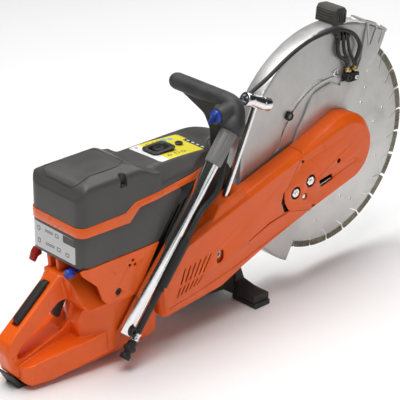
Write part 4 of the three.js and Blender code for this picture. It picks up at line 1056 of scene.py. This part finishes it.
def build_tank():
    middle = BODY_MIDDLE_Y
    loop_side = rounded([
        (-575, -108), (-572, -226), (-690, -226, 20), (-709, -207, 10), (-720, -166, 18),
        (-714, -149, 14), (-660, -105, 30), (-606, -61, 10), (-560, -61), (-560, -108)], 0, 6)
    loop = bevelled(prism("y", loop_side, middle - 18, middle + 18), 5, 3, 40)
    opening = rounded([
        (-588, -108, 8), (-591, -146, 12), (-606, -160, 14), (-684, -184, 10), (-697, -182, 5),
        (-699, -172, 6), (-690, -161, 8), (-651, -135, 20), (-612, -108, 8)], 0, 6)
    tail_plan = rounded([
        (-548, -38), (-687, -12.5, 10), (-699, 0, 8), (-699, 54, 8), (-687, 66.5, 10),
        (-548, 89)], 0, 5)
    tail_side = rounded([(-550, -226), (-690, -226, 12), (-709, -207, 6), (-704, -195, 8),
                         (-664, -185, 20), (-576, -172, 20), (-550, -166)], 0, 5)
    tank_front = rounded([
        (-38.5, -110), (-38.5, -203, 10), (-17, -227, 10), (71, -227, 10), (92.5, -203, 10),
        (92.5, -110)], 0, 5)
    tail = only(prism("z", tail_plan, -226, -160), prism("y", tail_side, -100, 150),
                prism("x", tank_front, -730, -540))
    over = rounded([(-697, -182.5), (-684, -184.5), (-606, -160), (-606, -100), (-697, -100)], 2)
    cut(tail, prism("y", over, -100, 150))
    tank_side = rounded([
        (-452, -118, 6), (-448, -150, 20), (-443, -172, 10), (-443, -196, 8), (-457, -226, 8),
        (-575, -226), (-592, -150, 20), (-580, -118)], 0, 6)
    flank = rounded([(-430, -39), (-536, -39, 30), (-591, -12, 20), (-591, 18, 12), (-560, 62, 14),
                     (-536, 93, 14), (-430, 93)], 0, 6)
    tank = only(prism("y", tank_side, -100, 150), prism("x", tank_front, -700, -400),
                prism("z", flank, -240, -100))
    neck_side = rounded([(-606, -62, 4), (-563, -60, 4), (-545, -116), (-592, -116, 8)], 0, 4)
    neck = bevelled(prism("y", neck_side, middle - 30, middle + 30), 5, 3, 40)
    shoulder = only(
        prism("y", [(-600, -66), (-560, -66), (-480, -117), (-592, -117)], -50, 100),
        prism("x", [(-3, -66), (57, -66), (91, -117), (-37, -117)], -620, -470))
    knuckles = prism("z", [(-620, 14), (-592, 16), (-561, 61), (-561, 110), (-620, 110)], -150,
        -112)
    whole = cut(join(loop, tail, tank, neck, shoulder), prism("y", opening, -50, 100), knuckles)
    join(whole, rod((-676, -14, -188), (-560, -34.6, -173), 2))
    moulded(whole, 1.5, 5)
    slot_trigger = [(-583, -100), (-583, -130), (-618, -150), (-640, -118), (-620, -90),
        (-596, -84)]
    slot_lock = [(-622, -60), (-684, -110), (-690, -100), (-690, -128), (-684, -135), (-624, -86.5),
        (-618, -78)]
    cut(whole, prism("y", slot_trigger, middle - 8, middle + 8),
        prism("y", slot_lock, middle - 8, middle + 8),
        lathe([(0, 0), (16, 0), (16, 60), (0, 60)], (-500, 50, -160), (0, 1, 0)))
    piece("tank_and_handle", whole, ORANGE, "frame", ["fuel_tank_handle"], shade=45)

    trigger = bevelled(prism("y", rounded(
        [(-586, -99), (-586, -112, 5), (-602, -143, 4), (-609, -141, 4), (-616, -127, 14),
         (-612, -104, 6), (-594, -93)], 0, 6), 20, 34), 1.6, 3, 40)
    piece("trigger_lever", trigger, BLACK, "trigger", ["throttle_trigger"])
    lock = bevelled(prism("y", rounded(
        [(-621, -70), (-631, -72, 6), (-686, -117, 4), (-688, -124, 3), (-683, -126), (-626, -79)],
        0, 6), 19.6, 34.4), 2.2, 4, 40)
    piece("lockout_lever", lock, BLACK, "lockout", ["throttle_lockout"])

    cap = lathe([(0, 0), (15.4, 0), (15.4, 8), (20, 8), (20, 17), (18.6, 19.6), (0, 19.6)],
                (-500, 84, -160), (0, 1, 0), 60)
    flutes = [rod_y(1.6, -500 + 20.6 * math.cos(a), -160 + 20.6 * math.sin(a), 90, 110, 12)
              for a in [math.radians(15 * k) for k in range(24)]]
    cut(cap, bundle(*flutes))
    fin = bevelled(prism("y", rectangle(-500, -160, 7, 32, 3), 100, 110), 0.8, 2)
    piece("fuel_cap_seen", join(cap, fin), BLACK, "fuel_cap", ["fuel_cap"], 0.4)

    foot = bevelled(prism("y", rounded(
        [(-714, -206, 2), (-709.8, -207), (-694.6, -226.4), (-664, -226.4), (-667, -235, 3),
         (-698, -235, 6)], 0, 5), middle - 18, middle + 18), 1.2, 3)
    grooves = [box((-730, -640), (y, y + 3), (-240, -233.4)) for y in (13, 21, 29, 37)]
    cut(foot, *grooves)
    piece("rear_foot_rubber", foot, RUBBER, "frame", ["rear_foot"])

    knob = lathe([(0, 0), (6.4, 0), (7.6, 1.4), (8, 3.6), (8, 12.6), (6.4, 14), (0, 14)],
                 (-611, -12, -50), (1, 0, 0), 40)
    shaft = rod((-598, -12, -50), (-470, -12, -50), 2)
    piece("choke_knob_seen", join(knob, shaft), BLUE, "choke", ["choke_knob"], 0.3)
    switch = bevelled(prism("y", rounded(
        [(-598, -40), (-590, -40), (-590, -52, 2), (-598, -54, 3), (-604, -62, 2), (-608, -60, 2),
         (-603, -46, 3)], 0, 4), 76, 90), 1.2, 3)
    piece("stop_switch_seen", switch, RED, "stop_switch", ["stop_switch"])
    fins = []
    for y in (48, 26):
        outline = rounded([(-600, -37), (-598, -62, 6), (-590, -74, 8), (-575, -78), (-572, -37)],
            0, 5)
        fins.append(bevelled(prism("y", outline, y - 4, y + 4), 2, 3, 40))
    piece("housing_fins", bundle(*fins), ORANGE)
    piece("throat", bevelled(box((-546, -470), (-30, 80), (-112, -40)), 6, 3), BLACK)


# ------------------------------------------------------------------ front handle and hoses


def beside_tube(radius, start, end):
    """A bar along the hose's line, from start to end mm down the tube."""
    return rod(on_tube(start, HOSE_AHEAD, HOSE_OUT), on_tube(end, HOSE_AHEAD, HOSE_OUT), radius, 36)


def build_front_handle():
    tube = rod(on_tube(14), on_tube(398), 12.5, 56, 10.5)
    bolt = on_tube(388)
    cut(tube, rod_y(4, bolt[0], bolt[2], -80, -20))
    piece("handle_tube", tube, CHROME, "frame", ["front_handle_tube"], 0.5)
    head = join(rod_y(3.5, bolt[0], bolt[2], -66, -38.2),
        lathe([(0, 0), (8.6, 0), (8.6, 1.6), (7, 2.2), (7, 5.4), (6, 6.2), (3.6, 6.2), (3.6, 3),
        (0, 3)], (bolt[0], -64.6, bolt[2]), (0, -1, 0)))
    piece("handle_bolt", head, BLACK, "frame", ["handle_tube_bolt"], 0.3)

    along = Vector(TUBE_END) - Vector(TUBE_TOP)
    sleeve = lathe([(12.9, 0), (15, 0), (15.2, 4), (15, 60), (14.6, 64), (13.6, 66), (12.9, 66)],
                   on_tube(16), along, 56)
    rings = [lathe([(14.4, 0), (17, 0), (17, 1.2), (14.4, 1.2)], on_tube(20 + 5 * k), along)
        for k in range(2)]
    cut(sleeve, *rings)
    # the sleeve's lightened grey is a painted highlight
    piece("handle_sleeve_seen", sleeve, SLEEVE_PAINTED_HIGHLIGHT, "frame", ["handle_sleeve"], 0.3)

    bend = [Vector(p) for p in ((-267, 84, 160), (-267, 40, 160), (-267, 0, 160), (-267, -22, 160),
        (-267.5, -36, 157), (-270, -47, 148), (-276, -52, 136), (-285, -52, 125))]
    end = lathe([(0, -14.6), (6, -13.8), (10.6, -10.8), (13.6, -6.4), (15, 0), (15, 20), (0, 20)],
                (-267, GRIP_END_Y, 160), (0, -1, 0), 48)
    bar = sweep(smooth_path(bend, 8), lambda share: 15 + 3 * max(0, share - 0.45), 40)
    collar = lathe([(0, -14), (12, -12), (18, -4), (20.5, 4), (21, 11), (20.6, 16), (19.4, 19),
        (0, 19)], on_tube(2, 1), Vector(TUBE_END) - Vector(TUBE_TOP), 48)
    lobe = lathe([(0, -6), (12, -4), (16.5, 4), (16.5, 24), (15.4, 30), (14, 33.6), (0, 33.6)],
                 (-270, -42, 150), Vector((-302, TAP_Y, TAP_Z)) - Vector((-270, -42, 150)), 48)
    skirt = hull([(-300, -34, 128), (-300, -18, 128), (-262, -16, 112), (-262, -50, 116),
        (-290, -16, 156), (-256, -16, 158), (-256, -50, 150), (-286, -40, 154), (-276, -20, 108)])
    corner = join(collar, lobe, skirt)
    web = bevelled(prism("x", rounded([(-16, 150), (-16, 118), (-2, 92, 8), (-2, 60), (17, 60),
        (20, 96, 14), (34, 120, 20), (100, 147, 20), (100, 152)], 0, 5), -268, -252), 2.5, 3, 40)
    leg = bevelled(prism("y", rounded([(-268, 110), (-252, 110), (-246, 70, 10), (-246, -100),
        (-258, -100), (-260, 70, 10)], 0, 5), -2, 16), 2, 3, 40)
    grip = moulded(join(corner, web, leg, end, bar), 1.1, 8)
    seam = lathe([(14.7, 0), (26, 4), (26, 5.2), (14.7, 1.2)], (-267, -16, 160), (0, 1, 0))
    socket = [rod(on_tube(14), on_tube(110), 15.8, 48),
        rod((-262, -30, 96), (-262, -30, 133), 6.9, 32)]
    cut(grip, seam, *socket)
    pocket = prism("y", rounded([(-262, -80), (-250, -80), (-250, 60), (-258, 66)], 2), -8, 0.5)
    cut(grip, pocket)
    piece("front_grip_skin", grip, GRIP_RUBBER, "frame", ["front_grip"], shade=42)

    body = lathe([(0, 0), (12, 0), (12, 3.6), (11, 5.6), (0, 5.6)], (-304.4, TAP_Y, TAP_Z),
        (-1, 0, 0), 40)
    lean = math.radians(TAP_LEAN)
    wing = [(TAP_Y + y * math.cos(lean) - z * math.sin(lean),
        TAP_Z + y * math.sin(lean) + z * math.cos(lean))
        for y, z in ((-2.6, -13), (2.6, -13), (1.8, 0), (2.6, 13), (-2.6, 13), (-1.8, 0))]
    wing = bevelled(prism("x", rounded(wing, 1.5, 4), -318, -308), 1.2, 3, 40)
    piece("water_tap_seen", join(body, wing), BLUE, "water_tap", ["water_tap"], 0.3)

    route = [(-262, -30, 126), (-262, -30, 108), (-274, -33, 84), (-298, -44, 52), (-322, -57, 22)]
    route += [on_tube(down, HOSE_AHEAD, HOSE_OUT) for down in (160, 200, 240, 290, 340, 390, 402)]
    piece("supply_hose_seen", sweep(smooth_path(route, 10), 5.5, 24), HOSE, "frame",
        ["supply_hose"])
    guide = cut(beside_tube(9, 215, 300), beside_tube(6.2, 150, 320),
        rod(on_tube(0), on_tube(420), 12.9))
    piece("hose_guide_seen", guide, BLACK, "frame", ["hose_guide"], 0.8)
    for k, down in enumerate((212, 303)):
        clip = beside_tube(7.4, down, down + 5)
        clip = cut(clip, beside_tube(5.6, down - 5, down + 10), rod(on_tube(0), on_tube(420), 12.7))
        piece(f"hose_clip_{k}", clip, BLACK, edge=0.3)
    ferrule = lathe([(5.6, 0), (7.6, 0), (8.2, 1), (8.2, 3), (7.4, 4), (7.4, 9), (8.2, 10),
        (8.2, 13), (7.4, 14), (5.6, 14)], on_tube(386, HOSE_AHEAD, HOSE_OUT), along, 40)
    piece("hose_ferrule", ferrule, CHROME, edge=0.2)
    nose = on_tube(402.4, HOSE_AHEAD, HOSE_OUT)
    coupling = lathe([(0, 0), (7.4, 0), (8, 0.8), (8, 7.4), (10.6, 9.6), (11, 10.6), (11, 14.4),
        (10.2, 15.4), (6.5, 18), (6.5, 22), (9, 23.6), (9.5, 24.6), (9.5, 31), (8.6, 32), (5, 32),
        (5, 26), (0, 26)], nose, along, 48)
    piece("coupling", coupling, BLACK, "frame", ["hose_connector"], 0.3)


def build_wrench():
    axis = (Vector(WRENCH_HEAD) - Vector(WRENCH_FOOT)).normalized()
    across = Vector((axis.z, 0, -axis.x))
    head = Vector(WRENCH_HEAD)
    barrel = lathe([(0, 0), (10.8, 0), (11.8, 1), (11.8, 17), (10.9, 18.4), (10.9, 43.6),
        (11.8, 45), (11.8, 61), (10.8, 62), (0, 62)], head - across * 30, across, 48)
    shaft = rod(WRENCH_FOOT, WRENCH_HEAD, 5.5, 32)
    wrench = join(barrel, shaft)
    cut(wrench, lathe([(0, 0), (8, 0), (8, 26), (0, 26)], head - across * 40, across, 6),
        lathe([(0, 0), (8, 0), (8, 26), (0, 26)], head + across * 14, across, 6))
    piece("socket_wrench", wrench, CHROME, "wrench", ["combination_wrench"], 0.4)


def build_front_foot():
    side = rounded([
        (-340, -185.4), (-309.5, -185.4), (-261.4, -130.4), (-240, -140, 10), (-224, -160, 16),
        (-214, -190, 16), (-207, -207, 8), (-196, -212, 4), (-196, -225), (-230, -225, 3),
        (-258, -205, 10), (-306, -200), (-340, -196)], 0, 5)
    bracket = prism("y", side, -58, 112)
    cut(bracket, box((-350, -180), (2, 52), (-240, -206)),
        box((-350, -233), (-70, -8), (-240, -120)), box((-350, -233), (62, 130), (-240, -120)),
        hull([(x, y, z) for x in (-240, -180) for y, z in ((-12, -120), (-12, -196), (-80, -217),
        (-80, -120))]), hull([(x, y, z) for x in (-240, -180)
        for y, z in ((66, -120), (66, -196), (134, -217), (134, -120))]))
    piece("front_foot_frame", bevelled(bracket, 2.5, 3, 40), BLACK, "frame", ["front_foot_bracket"])
    for name, low, high in (("right", -61, -1), ("left", 55, 115)):
        pad = bevelled(box((-231, -195), (low, high), (-235, -225.4)), 1.6, 3)
        treads = [box((-250, -180), (low + 6 + 8.6 * k, low + 9 + 8.6 * k), (-240, -233.2))
            for k in range(6)]
        cut(pad, *treads)
        piece(f"front_foot_rubber_{name}", pad, RUBBER, "frame", [f"front_foot_pad_{name}"])


# ------------------------------------------------------------------ starter side


def build_starter():
    x, z = on_arm(ARM_LENGTH, 0)
    dome = lathe([(0, 43), (54, 43), (60, 41.4), (63.4, 38), (64, 34), (64, 0), (61, 0), (61, 33),
                  (59, 38), (53, 40), (0, 40)], (x, 57, z), (0, 1, 0), 96)
    vents = []
    for k in range(8):
        vents.append(prism("y", rounded(
            sector(26, 50, 45 * k + 6, 45 * k + 34, 6, x, z), 1.5, 3), 90, 112))
    for k in range(4):
        vents.append(prism("y", rounded(sector(14, 20, 90 * k + 12, 90 * k + 78, 5, x, z), 1, 3),
            90, 112))
    cut(dome, bundle(*vents))
    piece("starter_cover", dome, ORANGE, "frame", ["starter_housing"], 0.8, 3)
    for k in range(3):
        u, v = polar(58.4, 100 + 120 * k, x, z)
        screw = lathe([(0, 0), (4, 0), (4, 1.6), (3.2, 2.2), (1.8, 2.2), (1.8, 0.8), (0, 0.8)],
                      (u, 96.9, v), (0, 1, 0), 28)
        piece(f"starter_screw_{k}", screw, STEEL)
    handle = bevelled(join(box((-374, -340), (101, 113), (-60.5, -50)),
                           box((-362, -352), (100.5, 112), (-66, -60))), 2.2, 3, 40)
    piece("starter_pull", handle, BLACK, "starter_grip", ["starter_handle"])


# ------------------------------------------------------------------ CAD nodes that stay

KEPT = {"STEEL": ["blade_flange_inner", "blade_flange_outer", "spindle", "blade_bolt",
    "bearing_pulley_side", "bearing_blade_side", "spark_plug", "crankshaft"],
    "CAST": ["front_pulley", "cutting_arm", "crankcase", "cylinder", "muffler", "carburettor",
    "clutch_hub", "clutch_drum", "flywheel"], "RUBBER": ["drive_belt", "vibration_damper_right",
    "vibration_damper_left"], "FELT": ["air_filter"]}


def dress_kept_nodes():
    finishes = {"STEEL": STEEL, "CAST": CAST, "RUBBER": RUBBER, "FELT": FELT}
    for finish, names in KEPT.items():
        for name in names:
            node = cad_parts[name]
            node.data.materials.clear()
            node.data.materials.append(finishes[finish])
            node.modifiers.new("weld", "WELD").merge_threshold = 1e-6
            add_bevel(node, KEPT_EDGE, 2, EDGE_ANGLE)
            node.data.shade_smooth()
            node.data.set_sharp_from_angle(angle=math.radians(EDGE_ANGLE))


# ------------------------------------------------------------------ assembly


build_blade()
guard_hose = build_guard()
build_arm()
build_body()
build_tank()
build_front_handle()
build_wrench()
build_front_foot()
build_starter()
dress_kept_nodes()

guard_hose.name = "guard_hose_long"
guard_hose.data.transform(TO_FRAME)
guard_hose.data.materials.append(HOSE)
guard_hose.data.shade_smooth()
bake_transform(guard_hose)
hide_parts("guard_hose_outer")


# ------------------------------------------------------------------ studio

CAMERA_AZIMUTH = math.radians(47.21)
CAMERA_DOWN = math.radians(25.14)

CAMERA_PLACE = (-2192, -2036, 1284)
LENS_MM, SENSOR_MM = 162, 36
SKY_LOW, SKY_HIGH = 0.24, 1.15

look = Vector((math.cos(CAMERA_AZIMUTH) * math.cos(CAMERA_DOWN),
               math.sin(CAMERA_AZIMUTH) * math.cos(CAMERA_DOWN), -math.sin(CAMERA_DOWN)))
lens = bpy.data.cameras.new("camera")
lens.lens = LENS_MM
lens.sensor_width = SENSOR_MM
lens.clip_end = 50
camera = bpy.data.objects.new("camera", lens)
camera.location = TO_FRAME @ Vector(CAMERA_PLACE)
camera.rotation_euler = look.to_track_quat("-Z", "Y").to_euler()
bpy.context.collection.objects.link(camera)
bpy.context.scene.camera = camera

floor = prism("z", circle(0, 0, 9000, 96), FLOOR - 20, FLOOR)
floor.name = "floor"
floor.data.transform(TO_FRAME)
ground = Nodes("floor_paint")
floor.data.materials.append(ground.set(Base_Color=ground.mix(ground.noise(1.2, 2),
    (0.95, 0.95, 0.95), (0.97, 0.97, 0.97)), Roughness=0.8))


LIGHT_TARGET = (-250, 20, -20)


def add_light(name, place, size, power):
    lamp = bpy.data.lights.new(name, "AREA")
    lamp.shape = "RECTANGLE"
    lamp.size, lamp.size_y = size
    lamp.energy = power
    obj = bpy.data.objects.new(name, lamp)
    obj.location = TO_FRAME @ Vector(place)
    toward = TO_FRAME @ Vector(LIGHT_TARGET) - obj.location
    obj.rotation_euler = toward.to_track_quat("-Z", "Y").to_euler()
    bpy.context.collection.objects.link(obj)


add_light("key", (-700, 300, 2700), (3.2, 2.6), 112)
add_light("fill", (-500, -2700, 1200), (2.4, 1.8), 12)
add_light("rim", (1900, 900, 1700), (1.6, 2.0), 20)

world = bpy.data.worlds.new("studio")
world.use_nodes = True
sky = world.node_tree.nodes
place = sky.new("ShaderNodeTexCoord")
parts = sky.new("ShaderNodeSeparateXYZ")
rise = sky.new("ShaderNodeMapRange")
rise.inputs["From Min"].default_value = -0.1
rise.inputs["From Max"].default_value = 0.8
rise.inputs["To Min"].default_value = SKY_LOW
rise.inputs["To Max"].default_value = SKY_HIGH
world.node_tree.links.new(place.outputs["Generated"], parts.inputs[0])
world.node_tree.links.new(parts.outputs["Z"], rise.inputs["Value"])
world.node_tree.links.new(rise.outputs["Result"], sky["Background"].inputs["Strength"])
bpy.context.scene.world = world
bpy.context.scene.view_settings.view_transform = "Standard"
